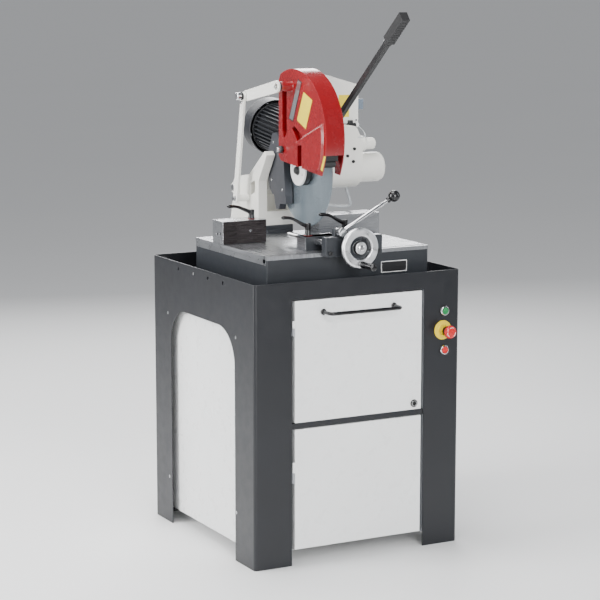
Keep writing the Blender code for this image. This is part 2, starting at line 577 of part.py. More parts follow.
def build_rear_cover(housing):
    """Fixed half of the blade's cover, a flat shell with a slot for the blade."""
    axle = (AXLE.y, AXLE.z)
    outline = ([(0.060, 1.060), (0.075, 1.205), (0.120, 1.258), (0.150, 1.252)]
               + arc((0.100, 1.170), 0.080, 40, -10, 4) + [(0.168, 1.080), (0.150, 1.060)])
    cover = place("rear_blade_cover", extrusion(list(reversed(outline)), "X", -0.030, 0.0075), "cover_grey",
                  AXLE, housing)
    tab = [(0.060, 1.062), (0.060, 1.036), (0.100, 1.033), (0.108, 1.015), (0.128, 1.015), (0.145, 1.062)]
    join(cover, extrusion(tab, "X", -0.028, -0.0045),
         rod((-0.030, GUARD_PIVOT.y, GUARD_PIVOT.z), (-0.0050, GUARD_PIVOT.y, GUARD_PIVOT.z), 0.020, 20),
         block((-0.029, 0.042, 1.193), (-0.0055, 0.082, 1.229)))
    cut(cover, rod((-0.0035, *axle), (0.0055, *axle), 0.1795, 40))


def build_motor(housing):
    fins, root, tip = 28, 0.070, 0.078
    outline = []
    for i in range(fins):
        for offset, radius in ((-0.32, root), (-0.18, tip), (0.18, tip), (0.32, root)):
            angle = 2 * math.pi * (i + offset) / fins
            outline.append((radius * math.cos(angle), radius * math.sin(angle)))
    body = extrusion(outline, "Z", 0.022, MOTOR_LENGTH - 0.001)
    bmesh.ops.transform(body, matrix=along(MOTOR_REAR, MOTOR_AXIS), verts=body.verts)
    stator = place("motor_housing", body, "motor_black", PIVOT, housing)
    join(stator, rod(motor_point(MOTOR_LENGTH - 0.020), motor_point(MOTOR_LENGTH), 0.0785, 32))
    cut(stator, rod(motor_point(0.0), motor_point(MOTOR_LENGTH - 0.012), 0.056, 24),
        rod(motor_point(MOTOR_LENGTH - 0.03), motor_point(MOTOR_LENGTH + 0.01), 0.0142, 20))

    ring = [(0.0, 0.0), (0.084, 0.0), (0.0915, 0.006), (0.0915, 0.062), (0.0885, 0.062), (0.0885, 0.009),
            (0.082, 0.003), (0.0, 0.003)]
    cowl = place("motor_cowl", turned(ring, motor_point(-0.032), MOTOR_AXIS, 28), "motor_black", PIVOT,
                 housing)
    up = Vector((0, -math.sin(MOTOR_TILT), math.cos(MOTOR_TILT)))
    side = Vector((1, 0, 0))
    for i in range(6):
        angle = math.pi * i / 3
        out = side * math.cos(angle) + up * math.sin(angle)
        middle = motor_point(-0.0305)
        cut(cowl, bar(middle + out * 0.022, middle + out * 0.072, 0.009, 0.012,
                      MOTOR_AXIS.cross(out)))

    core_end, worm_start = MOTOR_LENGTH - 0.045, MOTOR_LENGTH + 0.095
    worm_end = worm_start + 0.082
    shaft = [(0.0, 0.0), (0.0080, 0.0), (0.0080, 0.060), (0.0500, 0.060), (0.0500, core_end),
             (0.0110, core_end), (0.0110, worm_start), (0.0132, worm_start), (0.0132, worm_end),
             (0.0, worm_end)]
    rotor = place("motor_rotor", turned(shaft, motor_point(0.0), MOTOR_AXIS, 16), "steel", MOTOR_REAR)
    disc = [(0.0085, 0.0), (0.070, 0.0), (0.070, 0.003), (0.0220, 0.003), (0.0220, 0.014), (0.0085, 0.014)]
    fan = place("motor_fan", turned(disc, motor_point(0.001), MOTOR_AXIS, 20), "black_plastic",
                MOTOR_REAR, rotor)
    for i in range(6):
        angle = math.pi * i / 3
        out = side * math.cos(angle) + up * math.sin(angle)
        middle = motor_point(0.0085)
        join(fan, bar(middle + out * 0.020, middle + out * 0.066, 0.013, 0.002, MOTOR_AXIS))


def build_electrics(housing):
    low = 1.285 + GAP
    outline = [(0.0860, low), (0.2150, low), (0.2150, 1.4060), (0.0860, 1.4425)]
    box = place("electrical_box", extrusion(outline, "Y", 0.030, 0.100), "cast_white", PIVOT, housing)
    hollow = [(0.0885, low + 0.0025), (0.2125, low + 0.0025), (0.2125, 1.4040), (0.0885, 1.4392)]
    cut(box, extrusion(hollow, "Y", 0.0325, 0.110),
        rod((0.20, 0.060, 1.342), (0.22, 0.060, 1.342), 0.0050, 12))
    knob = [(0.0, -0.012), (0.0046, -0.012), (0.0046, GAP), (0.0185, GAP), (0.0175, 0.007), (0.0, 0.007)]
    switch = place("speed_switch", turned(knob, (0.2150, 0.060, 1.342), (1, 0, 0), 20), "cover_grey",
                   (0.215, 0.060, 1.342), housing)
    join(switch, block((0.2180, 0.0550, 1.3255), (0.2480, 0.0650, 1.3585)))


def build_lever(housing):
    foot, run = LEVER_FOOT, LEVER_AXIS
    lever = place("pull_lever", bar(foot, foot + run * 0.420, 0.016, 0.018), "black_plastic", foot,
                  housing)
    join(lever, block((0.064, -0.078, 1.285 + GAP), (0.0857, -0.036, 1.300)))
    across = run.cross(Vector((1, 0, 0)))
    start, end = foot + run * (0.420 + GAP), foot + run * 0.535
    grip = place("lever_grip", bar(start, end, 0.026, 0.030), "black_plastic", foot, housing)
    cut(grip, bar(foot + run * 0.450 + across * 0.010, foot + run * 0.522 + across * 0.010,
                  0.0150, 0.0300))
    hinge = foot + run * 0.460 + across * 0.008
    paddle = bar(foot + run * 0.4520 + across * 0.0085, foot + run * 0.5180 + across * 0.0165,
                 0.0130, 0.0070)
    trigger = place("trigger", paddle, "button_red", hinge, housing)
    join(trigger, rod(hinge - Vector((0.0065, 0, 0)), hinge + Vector((0.0065, 0, 0)), 0.0058, 12))


def build_blade():
    axle = (AXLE.y, AXLE.z)
    half = BLADE_T / 2
    disc = [(0.0162, -half), (BLADE_R, -half), (BLADE_R, half), (0.0162, half)]
    steps = [(0.0, 0.0), (0.0150, 0.0), (0.0150, 0.0208), (0.0400, 0.0208), (0.0400, 0.0345),
             (0.0150, 0.0345), (0.0150, 0.250), (0.0, 0.250)]
    arbor = place("arbor", turned(steps, (-0.0192, *axle), (1, 0, 0), 24), "steel", AXLE)
    place("saw_blade", turned(disc, (0.0, *axle), (1, 0, 0), 48), "blade_steel", AXLE, arbor)
    flange = [(0.0154, 0.0279), (0.0360, 0.0279), (0.0360, 0.0070), (0.0485, 0.0070), (0.0485, 0.0),
              (0.0110, 0.0), (0.0110, -0.0070), (0.0095, -0.0090), (0.0, -0.0090), (0.0, 0.0098),
              (0.0154, 0.0098)]
    place("blade_flange", turned(flange, (-0.0295, *axle), (1, 0, 0), 24), "steel", AXLE, arbor)
    teeth, root, tip = 30, 0.0370, 0.0405
    outline = []
    for i in range(teeth):
        for offset, radius in ((-0.30, root), (-0.14, tip), (0.14, tip), (0.30, root)):
            angle = 2 * math.pi * (i + offset) / teeth
            outline.append((axle[0] + radius * math.cos(angle), axle[1] + radius * math.sin(angle)))
    wheel = place("worm_wheel", extrusion(outline, "X", 0.075, 0.105), "bronze", AXLE, arbor)
    cut(wheel, rod((0.07, *axle), (0.11, *axle), 0.0153, 24))


def build_guard():
    """Swinging red guard: outer plate, rim and a band of inner plate round the blade."""
    left, right, skin = -0.050, 0.014, 0.0025
    bottom_front = 210.0

    def outline(inset):
        radius = GUARD_R - inset
        return (arc(GUARD_ARC, radius, bottom_front, 65, 24)
                + [(0.065, 1.425), (0.065, 1.192), (0.052, 1.1765)])

    guard = place("blade_guard", extrusion(outline(0.0), "X", left, right), "guard_red", GUARD_PIVOT)
    hollow = (arc(GUARD_ARC, GUARD_R - skin, bottom_front + 12, 62, 24)
              + [(0.090, 1.420), (0.090, 1.100), (-0.300, 1.100)])
    cut(guard, extrusion(hollow, "X", left + skin, right - skin),
        rod((0.0, *GUARD_ARC), (0.05, *GUARD_ARC), 0.150, 32),
        block((0.0, -0.02, 1.10), (0.05, 0.10, 1.43)),
        block((0.0, -0.185, 1.10), (0.05, 0.10, 1.30)),
        block((left + skin, -0.30, 1.10), (right - skin, -0.150, 1.213)))
    raised = [(-0.058, 1.166), (0.052, 1.1768), (0.0645, 1.193), (0.0645, 1.424), (0.043, 1.424),
              (0.043, 1.250), (0.015, 1.284), (-0.0226, 1.2825), (-0.058, 1.2385)]
    ridge = [(-0.058, 1.166), (-0.212, 1.1510), (-0.222, 1.178), (-0.219, 1.283), (-0.058, 1.2385)]
    pin = (LINK_FREE.y, LINK_FREE.z)
    join(guard, extrusion(raised, "X", left - 0.004, left + 0.001),
         extrusion(ridge, "X", left - 0.005, left + 0.001),
         rod((left - 0.038, *pin), (left + 0.001, *pin), 0.0165, 20),
         rod((-0.108, *pin), (left, *pin), 0.0033, 10))
    cut(guard, rod((-0.08, GUARD_PIVOT.y, GUARD_PIVOT.z), (-0.03, GUARD_PIVOT.y, GUARD_PIVOT.z),
                   0.0063, 16))


def build_guard_bolt(housing):
    """Shoulder bolt that the guard turns on, screwed to the lug of the rear blade cover."""
    y, z = GUARD_PIVOT.y, GUARD_PIVOT.z
    profile = [(0.0, 0.0), (0.0100, 0.0), (0.0110, 0.002), (0.0110, 0.0075), (0.0060, 0.0075),
               (0.0060, 0.0319), (0.0, 0.0319)]
    place("guard_bolt", turned(profile, (-0.0622, y, z), (1, 0, 0), 16), "steel", (0, y, z), housing)


def build_coolant_hose(table):
    """Hose from a tap on the console, behind the right fence, to the gearbox's right side."""
    route = [(0.0650, 0.2500, 0.9850), (0.0840, 0.2500, 0.9840), (0.1050, 0.2430, 0.9800),
             (0.1600, 0.1850, 0.9740), (0.2050, 0.1150, 0.9780), (0.2215, 0.0860, 1.0040),
             (0.2100, 0.0835, 1.0430), (0.1990, 0.0820, 1.0810), (0.1880, 0.0770, 1.1080),
             (0.1790, 0.0750, 1.1160), (0.1710, 0.0745, 1.1175)]
    tube_curve("coolant_hose", smooth_route(route, 0.014), 0.0045, "hose_grey", 2, table)


def main():
    clear_scene()
    build_stand()
    build_controls()
    build_doors()
    build_coolant_tank()
    build_bed()
    build_fences()
    clamp_lever("fence_lever", (-0.161, 0.036, FENCE_TOP), 0.029)
    build_vise()
    table = build_turntable()
    housing = build_gearbox()
    build_rear_cover(housing)
    build_motor(housing)
    build_electrics(housing)
    build_lever(housing)
    build_blade()
    build_guard()
    build_guard_bolt(housing)
    build_coolant_hose(table)


main()
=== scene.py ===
"""Looks for the manual circular cold saw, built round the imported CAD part. Metres, +Z up."""
import json
import math

import bmesh
import bpy
from mathutils import Matrix, Vector

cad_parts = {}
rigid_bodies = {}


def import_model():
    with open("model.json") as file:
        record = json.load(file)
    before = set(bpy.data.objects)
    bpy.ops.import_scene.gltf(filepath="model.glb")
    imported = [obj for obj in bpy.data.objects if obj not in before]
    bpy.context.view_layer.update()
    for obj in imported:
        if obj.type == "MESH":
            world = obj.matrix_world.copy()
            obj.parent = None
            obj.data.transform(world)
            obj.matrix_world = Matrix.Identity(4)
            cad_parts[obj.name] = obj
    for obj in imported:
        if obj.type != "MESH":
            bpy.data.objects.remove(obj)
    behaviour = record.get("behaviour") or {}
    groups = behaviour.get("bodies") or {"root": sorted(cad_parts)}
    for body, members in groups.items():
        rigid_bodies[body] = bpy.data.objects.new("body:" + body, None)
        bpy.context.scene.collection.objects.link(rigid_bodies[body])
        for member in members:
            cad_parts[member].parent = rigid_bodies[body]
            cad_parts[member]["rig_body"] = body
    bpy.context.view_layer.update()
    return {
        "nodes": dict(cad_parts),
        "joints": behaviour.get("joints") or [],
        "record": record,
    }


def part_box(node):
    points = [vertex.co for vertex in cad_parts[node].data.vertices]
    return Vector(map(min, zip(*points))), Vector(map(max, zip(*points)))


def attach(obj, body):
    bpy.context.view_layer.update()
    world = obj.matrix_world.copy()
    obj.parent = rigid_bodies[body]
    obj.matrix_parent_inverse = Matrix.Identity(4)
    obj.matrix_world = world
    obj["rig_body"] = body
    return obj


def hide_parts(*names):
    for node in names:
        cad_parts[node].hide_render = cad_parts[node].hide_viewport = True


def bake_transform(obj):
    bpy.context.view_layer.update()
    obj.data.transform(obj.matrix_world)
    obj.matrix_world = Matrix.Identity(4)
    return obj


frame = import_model()

# ---------------------------------------------------------------- places taken from the frame
JOINT = {j["name"]: j for j in frame["joints"]}


def joint_point(name):
    return Vector(JOINT[name]["pos_m"])


def middle(node):
    low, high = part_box(node)
    return (low + high) / 2


X, Y, Z = Vector((1, 0, 0)), Vector((0, 1, 0)), Vector((0, 0, 1))
PIVOT = joint_point("head_tilt")
AXLE = joint_point("blade_spin")
GUARD_PIVOT = joint_point("guard_swing")
LINK_FIXED = joint_point("guard_link_swing")
MOTOR_REAR = joint_point("motor_spin")
MOTOR_AXIS = Vector(JOINT["motor_spin"]["axis"])
MOTOR_UP = MOTOR_AXIS.cross(X)
SPINDLE = joint_point("handwheel_spin")
FRAME_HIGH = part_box("stand_frame")[1]
BED_LOW, BED_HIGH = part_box("bed")
FRONT = -FRAME_HIGH.y                          # front face of the stand
GAP = 0.0003                                   # kept between pieces that only touch
SWITCH_Z = joint_point("speed_switch_turn").z
GUARD_ARC = (-0.035, 1.255)                    # centre (y, z) of the guard's rim
GUARD_R = 0.209
GUARD_PIN = (-0.018, 1.41)                     # centre (y, z) of the pin between guard and link
ARM_TOP = 0.955                                # top of the turntable's arm, the console's seat
GEARBOX_TOP = 1.285
BOX_FLOOR = GEARBOX_TOP + GAP                  # underside of what stands on the gearbox
LEVER_TILT = math.radians(39.2)
LEVER_AXIS = Vector((0.0, -math.cos(LEVER_TILT), math.sin(LEVER_TILT)))
LEVER_FOOT = Vector((0.08, -0.062, 1.292))
LEVER_ACROSS = LEVER_AXIS.cross(X)
PLANES = {"X": (1, 2, 0), "Y": (0, 2, 1), "Z": (0, 1, 2)}   # outline axes, then extrusion axis


# ---------------------------------------------------------------- materials
class Finish:
    """A Principled material with a short way of adding nodes."""

    def __init__(self, name, colour, roughness, metallic=0.0, coat=0.0):
        self.material = bpy.data.materials.new(name)
        self.material.use_nodes = True
        self.tree = self.material.node_tree
        self.shader = self.tree.nodes["Principled BSDF"]
        self.shader.inputs["Base Color"].default_value = (*colour, 1.0)
        self.shader.inputs["Roughness"].default_value = roughness
        self.shader.inputs["Metallic"].default_value = metallic
        self.shader.inputs["Coat Weight"].default_value = coat
        self.shader.inputs["Coat Roughness"].default_value = 0.12
        self.height = None

    def node(self, kind, **inputs):
        made = self.tree.nodes.new("ShaderNode" + kind)
        for key, value in inputs.items():
            if key in ("operation", "data_type", "wave_type", "rings_direction"):
                setattr(made, key, value)
                continue
            socket = made.inputs[key.replace("_", " ")]
            if isinstance(value, bpy.types.NodeSocket):
                self.tree.links.new(value, socket)
            else:
                socket.default_value = value
        return made

    def noise(self, scale, stretch=(1, 1, 1), detail=3.0):
        place = self.node("TexCoord").outputs["Object"]
        if stretch != (1, 1, 1):
            place = self.node("Mapping", Vector=place, Scale=stretch).outputs["Vector"]
        return self.node("TexNoise", Vector=place, Scale=scale, Detail=detail).outputs["Fac"]

    def rings(self, scale, distortion=1.5):
        place = self.node("TexCoord").outputs["Object"]
        return self.node(
            "TexWave", wave_type="RINGS", rings_direction="X", Vector=place, Scale=scale,
            Distortion=distortion, Detail=3.0).outputs["Fac"]

    def spread(self, source, low, high):
        return self.node(
            "MapRange", Value=source, From_Min=0.3, From_Max=0.7, To_Min=low, To_Max=high).outputs["Result"]

    def vary_roughness(self, source, low, high):
        self.tree.links.new(self.spread(source, low, high), self.shader.inputs["Roughness"])
        return self

    def mix_colour(self, amount, other):
        """Blend another colour over the base colour, by a socket's value."""
        socket = self.shader.inputs["Base Color"]
        mix = self.node("Mix", data_type="RGBA")
        factor, under, over = (mix.inputs[i] for i in (0, 6, 7))
        self.tree.links.new(amount, factor)
        if socket.links:
            self.tree.links.new(socket.links[0].from_socket, under)
        else:
            under.default_value = tuple(socket.default_value)
        over.default_value = (*other, 1.0)
        self.tree.links.new(mix.outputs[2], socket)
        return self

    def vary_colour(self, source, other):
        return self.mix_colour(self.spread(source, 0.0, 1.0), other)

    def bump(self, source, strength, distance):
        made = self.node("Bump", Height=source, Strength=strength, Distance=distance)
        if self.height:
            self.tree.links.new(self.height, made.inputs["Normal"])
        self.height = made.outputs["Normal"]
        self.tree.links.new(self.height, self.shader.inputs["Normal"])
        return self

    def edges(self, colour, radius=0.0015, amount=0.5):
        """Painted highlight along sharp edges: a lighter colour mixed in by how far a bevelled normal
        leans.
        """
        bevel = self.node("Bevel", Radius=radius)
        geometry = self.node("NewGeometry")
        lean = self.node("VectorMath", operation="DOT_PRODUCT")
        self.tree.links.new(bevel.outputs["Normal"], lean.inputs[0])
        self.tree.links.new(geometry.outputs["Normal"], lean.inputs[1])
        # painted highlight: the lighter edge colour is mixed in where this mask rises
        highlight_mask = self.node(
            "MapRange", Value=lean.outputs["Value"], From_Min=0.98, From_Max=0.86, To_Min=0.0,
            To_Max=amount).outputs["Result"]
        return self.mix_colour(highlight_mask, colour)


def paint(name, colour, roughness, grain=700, depth=0.00004, shade=0.88, coat=0.0):
    """Sprayed paint: orange peel, faint cloudiness and patchy gloss."""
    made = Finish(name, colour, roughness, 0.0, coat)
    made.vary_colour(made.noise(6.0), tuple(c * shade for c in colour))
    made.vary_roughness(made.noise(35.0), roughness - 0.05, roughness + 0.06)
    return made.bump(made.noise(grain), 0.35, depth)


def casting(name, colour, roughness):
    """Enamel over a sand casting: coarse skin under the paint."""
    made = paint(name, colour, roughness, 260, 0.00025, 0.9)
    return made.bump(made.noise(900), 0.25, 0.0001)


def metal(name, colour, roughness, stretch=(1, 1, 1), scale=60.0, depth=0.00003, tint=0.75):
    made = Finish(name, colour, roughness, 1.0)
    streak = made.noise(scale, stretch, 5.0)
    made.vary_roughness(streak, roughness * 0.7, roughness * 1.4)
    made.vary_colour(made.noise(scale * 0.4, stretch, 3.0), tuple(c * tint for c in colour))
    return made.bump(streak, 0.3, depth)


def plastic(name, colour, roughness, grain=1500, depth=0.00002):
    made = Finish(name, colour, roughness)
    made.vary_roughness(made.noise(60.0), roughness - 0.04, roughness + 0.05)
    made.vary_colour(made.noise(12.0), tuple(c * 0.85 + 0.001 for c in colour))
    return made.bump(made.noise(grain), 0.3, depth)


# The .edges() calls below paint highlights along sharp edges in a lighter colour.
LOOK = {
    "frame_black": paint("Powder coat black", (0.0085, 0.0095, 0.0125), 0.34, 1100, 0.00006,
        0.8) .edges((0.05, 0.052, 0.06), 0.002, 0.5),
    "panel_white": paint("Panel white", (0.83, 0.84, 0.835), 0.3, 500, 0.00003, 0.97),
    "flange_grey": paint("Flange grey", (0.3, 0.31, 0.33), 0.4),
    "cast_dark": casting("Casting dark grey", (0.02, 0.023, 0.028), 0.42) .edges((0.16, 0.17, 0.18), 0.002,
        0.7), "machined": metal("Machined steel", (0.5, 0.51, 0.53), 0.3, (60, 1, 1), 14.0, 0.00004, 0.72),
    "ground": metal("Ground steel", (0.62, 0.63, 0.65), 0.22, (1, 1, 40), 18.0, 0.00003, 0.8),
    "turned": metal("Turned steel", (0.6, 0.61, 0.62), 0.2, (1, 1, 1), 90.0, 0.00002, 0.8),
    "polished": metal("Satin aluminium", (0.8, 0.81, 0.82), 0.34, (1, 1, 1), 60.0, 0.00002, 0.92),
    "blued": metal("Blued steel", (0.105, 0.092, 0.092), 0.26, (1, 1, 60), 22.0, 0.00002, 0.8),
    "chrome": metal("Chrome", (0.82, 0.82, 0.83), 0.07, (1, 1, 1), 25.0, 0.000005, 0.95),
    "cast_white": casting("Casting cream", (0.76, 0.75, 0.7), 0.36) .edges((0.86, 0.86, 0.83), 0.002, 0.4),
    "plate_white": paint("Plate cream", (0.78, 0.775, 0.73), 0.34, 600, 0.00004, 0.95),
    "guard_red": paint("Guard red", (0.235, 0.0022, 0.005), 0.26, 420, 0.00005, 0.8,
        0.35) .edges((0.6, 0.1, 0.11), 0.0018, 0.75),
    "black_plastic": plastic("Gloss black", (0.007, 0.007, 0.008), 0.2),
    "satin_black": plastic("Satin black", (0.01, 0.01, 0.011), 0.42, 900, 0.00006),
    "rubber_black": plastic("Rubber grip", (0.012, 0.012, 0.013), 0.55, 700, 0.00012),
    "motor_black": casting("Motor black", (0.013, 0.014, 0.017), 0.44),
    "cowl_grey": paint("Cowl grey", (0.016, 0.017, 0.021), 0.42, 700, 0.00005, 0.5) .edges((0.3, 0.3, 0.33),
        0.0012, 0.8), "cover_grey": paint("Cover grey", (0.042, 0.044, 0.052), 0.4, 600, 0.00006, 0.85),
    "switch_blue": plastic("Switch blue grey", (0.16, 0.2, 0.25), 0.35),
    "button_green": plastic("Button green", (0.01, 0.22, 0.06), 0.26),
    "button_red": plastic("Button red", (0.55, 0.012, 0.012), 0.26),
    "collar_yellow": plastic("Collar yellow", (0.83, 0.6, 0.01), 0.36),
    "label_silver": metal("Label silver", (0.7, 0.71, 0.72), 0.28, (1, 60, 1), 20.0),
    "label_yellow": plastic("Label yellow", (0.8, 0.62, 0.03), 0.4),
    "label_white": plastic("Label white", (0.8, 0.8, 0.79), 0.35),
    "hose_grey": plastic("Hose grey", (0.52, 0.55, 0.57), 0.4, 600, 0.0001),
    "bronze": metal("Bronze", (0.55, 0.36, 0.14), 0.3),}
blade_look = Finish("Blade steel", (0.5, 0.58, 0.63), 0.3, 1.0)
blade_rings = blade_look.rings(170.0)
blade_look.vary_roughness(blade_rings, 0.24, 0.42)
blade_look.vary_colour(blade_look.noise(16.0, (1, 1, 0.35)), (0.36, 0.44, 0.5))
blade_look.bump(blade_rings, 0.25, 0.00004)
LOOK["blade_steel"] = blade_look

NO_SLOT = "none"
SLOT_OF_NODE = {s["node"]: s["material_slot"] for s in frame["record"]["subparts"]}
# The slot that a look belongs to where a piece has no node; any other look has the slot of its own name.
USUAL_SLOT = {
    "blued": "machined", "ground": "machined", "flange_grey": "panel_white", "turned": "steel",
    "label_yellow": "collar_yellow", "plate_white": "cast_white", "rubber_black": "black_plastic",
    "satin_black": "black_plastic", "switch_blue": "cover_grey"}


# ---------------------------------------------------------------- mesh helpers
def body_of(node):
    for body, members in frame["record"]["behaviour"]["bodies"].items():
        if node in members:
            return body
    raise ValueError(node)


def dress(obj, look, body=None, slot=None, node=None):
    """Give a piece its look and body, and work out a slot that is not stored.

    A piece with no body given stands in for a CAD node, `node` or the one it is named after, takes its body
    from it and hides it; its slot would be that node's. Another piece would have the usual slot of its
    look, unless one is given.
    """
    obj.data.materials.clear()
    obj.data.materials.append(LOOK[look].material)
    if body is None:
        node = node or obj.name.removeprefix("v_")
        body, slot = body_of(node), SLOT_OF_NODE[node]
    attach(obj, body)
    slot = slot or USUAL_SLOT.get(look, look)
    if node:
        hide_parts(node)
    return obj


def to_object(name, bm):
    bmesh.ops.recalc_face_normals(bm, faces=bm.faces)
    mesh = bpy.data.meshes.new(name)
    bm.to_mesh(mesh)
    bm.free()
    obj = bpy.data.objects.new(name, mesh)
    bpy.context.scene.collection.objects.link(obj)
    return obj


def settle(obj, bevel=0.0, segments=2, angle=30, smooth=38):
    """Apply the modifiers, with a bevel and weighted normals, and leave a plain mesh."""
    if bevel:
        edge = obj.modifiers.new("bevel", "BEVEL")
        edge.width = bevel
        edge.segments = segments
        edge.limit_method = "ANGLE"
        edge.angle_limit = math.radians(angle)
        edge.miter_outer = "MITER_ARC"
    bpy.context.view_layer.update()
    graph = bpy.context.evaluated_depsgraph_get()
    mesh = bpy.data.meshes.new_from_object(obj.evaluated_get(graph))
    obj.modifiers.clear()
    obj.data = mesh
    mesh.shade_smooth()
    mesh.set_sharp_from_angle(angle=math.radians(smooth))
    if bevel:
        weight = obj.modifiers.new("normals", "WEIGHTED_NORMAL")
        weight.keep_sharp = True
        bpy.context.view_layer.update()
        graph = bpy.context.evaluated_depsgraph_get()
        mesh = bpy.data.meshes.new_from_object(obj.evaluated_get(graph))
        obj.modifiers.clear()
        obj.data = mesh
    return obj


def shape(
        name, bm, bevel, look, body=None, slot=None, joins=(), cuts=(), segments=2, angle=30, node=None,
        centre=None):
    """One finished piece: a base form, what is joined on, what is cut away, then rounded edges."""
    obj = to_object(name, bm)
    helpers = []
    for operation, forms in (("UNION", joins), ("DIFFERENCE", cuts)):
        for form in forms:
            helper = to_object(f"{name}_helper", form)
            modifier = obj.modifiers.new("boolean", "BOOLEAN")
            modifier.operation = operation
            modifier.solver = "EXACT"
            modifier.object = helper
            helpers.append(helper)
    if helpers:
        settle(obj)
        for helper in helpers:
            bpy.data.objects.remove(helper)
        tidy = bmesh.new()
        tidy.from_mesh(obj.data)
        bmesh.ops.remove_doubles(tidy, verts=tidy.verts, dist=2e-6)
        bmesh.ops.dissolve_limit(tidy, angle_limit=math.radians(0.4), verts=tidy.verts, edges=tidy.edges)
        tidy.to_mesh(obj.data)
        tidy.free()
    settle(obj, bevel, segments, angle)
    if centre is not None:
        obj.data.transform(Matrix.Translation(-Vector(centre)))
        obj.location = Vector(centre)
    return dress(obj, look, body, slot, node)


def refine(node, bevel, look, segments=2, angle=30):
    """A visible piece made from the CAD node's own form, with its edges rounded."""
    bm = bmesh.new()
    bm.from_mesh(frame["nodes"][node].data)
    bmesh.ops.remove_doubles(bm, verts=bm.verts, dist=1e-5)
    bmesh.ops.dissolve_limit(bm, angle_limit=math.radians(0.6), verts=bm.verts, edges=bm.edges)
    return shape("v_" + node, bm, bevel, look, segments=segments, angle=angle)


def block(low, high):
    low, high = Vector(low), Vector(high)
    bm = bmesh.new()
    bmesh.ops.create_cube(bm, size=1.0)
    bmesh.ops.transform(
        bm, matrix=Matrix.Translation((low + high) / 2) @ Matrix.Diagonal((*(high - low), 1)),
        verts=bm.verts)
    return bm


def extrusion(outline, axis, start, end):
    first, second, third = PLANES[axis]
    bm = bmesh.new()
    corners = []
    for a, b in outline:
        point = [0.0, 0.0, 0.0]
        point[first], point[second], point[third] = a, b, start
        corners.append(bm.verts.new(point))
    face = bm.faces.new(corners)
    swept = bmesh.ops.extrude_face_region(bm, geom=[face])
    shift = Vector((0, 0, 0))
    shift[third] = end - start
    moved = [item for item in swept["geom"] if isinstance(item, bmesh.types.BMVert)]
    bmesh.ops.translate(bm, verts=moved, vec=shift)
    return bm


def along(start, direction):
    turn = Vector(direction).to_track_quat("Z", "Y").to_matrix().to_4x4()
    return Matrix.Translation(start) @ turn


def fillet(points, radius, steps=3, keep=()):
    """Round the corners of a closed outline with short curves."""
    rounded_points = []
    count = len(points)
    for i, (px, py) in enumerate(points):
        here = Vector((px, py))
        before, after = Vector(points[i - 1]) - here, Vector(points[(i + 1) % count]) - here
        if i in keep or before.length < 1e-7 or after.length < 1e-7:
            rounded_points.append((px, py))
            continue
        reach = min(radius, before.length * 0.45, after.length * 0.45)
        a, b = here + before.normalized() * reach, here + after.normalized() * reach
        for k in range(steps + 1):
            t = k / steps
            point = a * (1 - t) ** 2 + here * 2 * t * (1 - t) + b * t * t
            rounded_points.append((point.x, point.y))
    return rounded_points


def band(inner, outer, low, high):
    """Profile of a plain ring from distance `low` to `high`; with no inner radius it is a disc."""
    return [(inner, low), (outer, low), (outer, high), (inner, high)]


def lathe(profile, start, direction, segments=72, radius=0.0008):
    """Turned form from a closed profile of (radius, distance), with its corners rounded."""
    on_axis = [i for i, (r, _) in enumerate(profile) if r < 1e-9]
    bm = bmesh.new()
    loop = [bm.verts.new((r, 0.0, h)) for r, h in fillet(profile, radius, 3, on_axis)]
    edges = [bm.edges.new((loop[i], loop[(i + 1) % len(loop)])) for i in range(len(loop))]
    bmesh.ops.spin(
        bm, geom=loop + edges, cent=(0, 0, 0), axis=(0, 0, 1), angle=2 * math.pi, steps=segments,
        use_merge=False)
    bmesh.ops.remove_doubles(bm, verts=bm.verts, dist=5e-6)
    bmesh.ops.dissolve_degenerate(bm, edges=bm.edges, dist=1e-6)
    bmesh.ops.transform(bm, matrix=along(start, direction), verts=bm.verts)
    return bm


def rod(start, end, radius, segments=48):
    start, end = Vector(start), Vector(end)
    bm = bmesh.new()
    bmesh.ops.create_cone(
        bm, cap_ends=True, segments=segments, radius1=radius, radius2=radius, depth=(end - start).length)
    bmesh.ops.transform(bm, matrix=along((start + end) / 2, end - start), verts=bm.verts)
    return bm


def bar(start, end, width, depth, side=(1, 0, 0)):
    start, end = Vector(start), Vector(end)
    run, side = (end - start).normalized(), Vector(side).normalized()
    turn = Matrix((side, run.cross(side), run)).transposed().to_4x4()
    bm = bmesh.new()
    bmesh.ops.create_cube(bm, size=1.0)
    size = Matrix.Diagonal((width, depth, (end - start).length, 1))
    bmesh.ops.transform(bm, matrix=Matrix.Translation((start + end) / 2) @ turn @ size, verts=bm.verts)
    return bm


def arc(centre, radius, first, last, steps):
    angles = [math.radians(first + (last - first) * i / steps) for i in range(steps + 1)]
    return [(centre[0] + radius * math.cos(a), centre[1] + radius * math.sin(a)) for a in angles]


def toothed(centre, count, pitch):
    """Closed outline that repeats `pitch`, pairs of (share of a pitch, radius), round a centre."""
    outline = []
    for k in range(count):
        for offset, radius in pitch:
            angle = 2 * math.pi * (k + offset) / count
            outline.append((centre[0] + radius * math.cos(angle), centre[1] + radius * math.sin(angle)))
    return outline


def rounded(low, high, radius, steps=8):
    (x0, y0), (x1, y1) = low, high
    return (
        arc((x1 - radius, y0 + radius), radius, -90, 0, steps)
        + arc((x1 - radius, y1 - radius), radius, 0, 90, steps)
        + arc((x0 + radius, y1 - radius), radius, 90, 180, steps)
        + arc((x0 + radius, y0 + radius), radius, 180, 270, steps))


def smooth_route(points, spacing):
    pts = [Vector(p) for p in points]
    pts = [2 * pts[0] - pts[1]] + pts + [2 * pts[-1] - pts[-2]]
    route = []
    for i in range(1, len(pts) - 2):
        a, b, c, d = pts[i - 1:i + 3]
        count = max(2, round((c - b).length / spacing))
        for k in range(count):
            t = k / count
            route.append(
                0.5 * (2 * b + (c - a) * t + (2 * a - 5 * b + 4 * c - d) * t * t
                    + (3 * b - 3 * c + d - a) * t ** 3))
    return route + [pts[-2]]


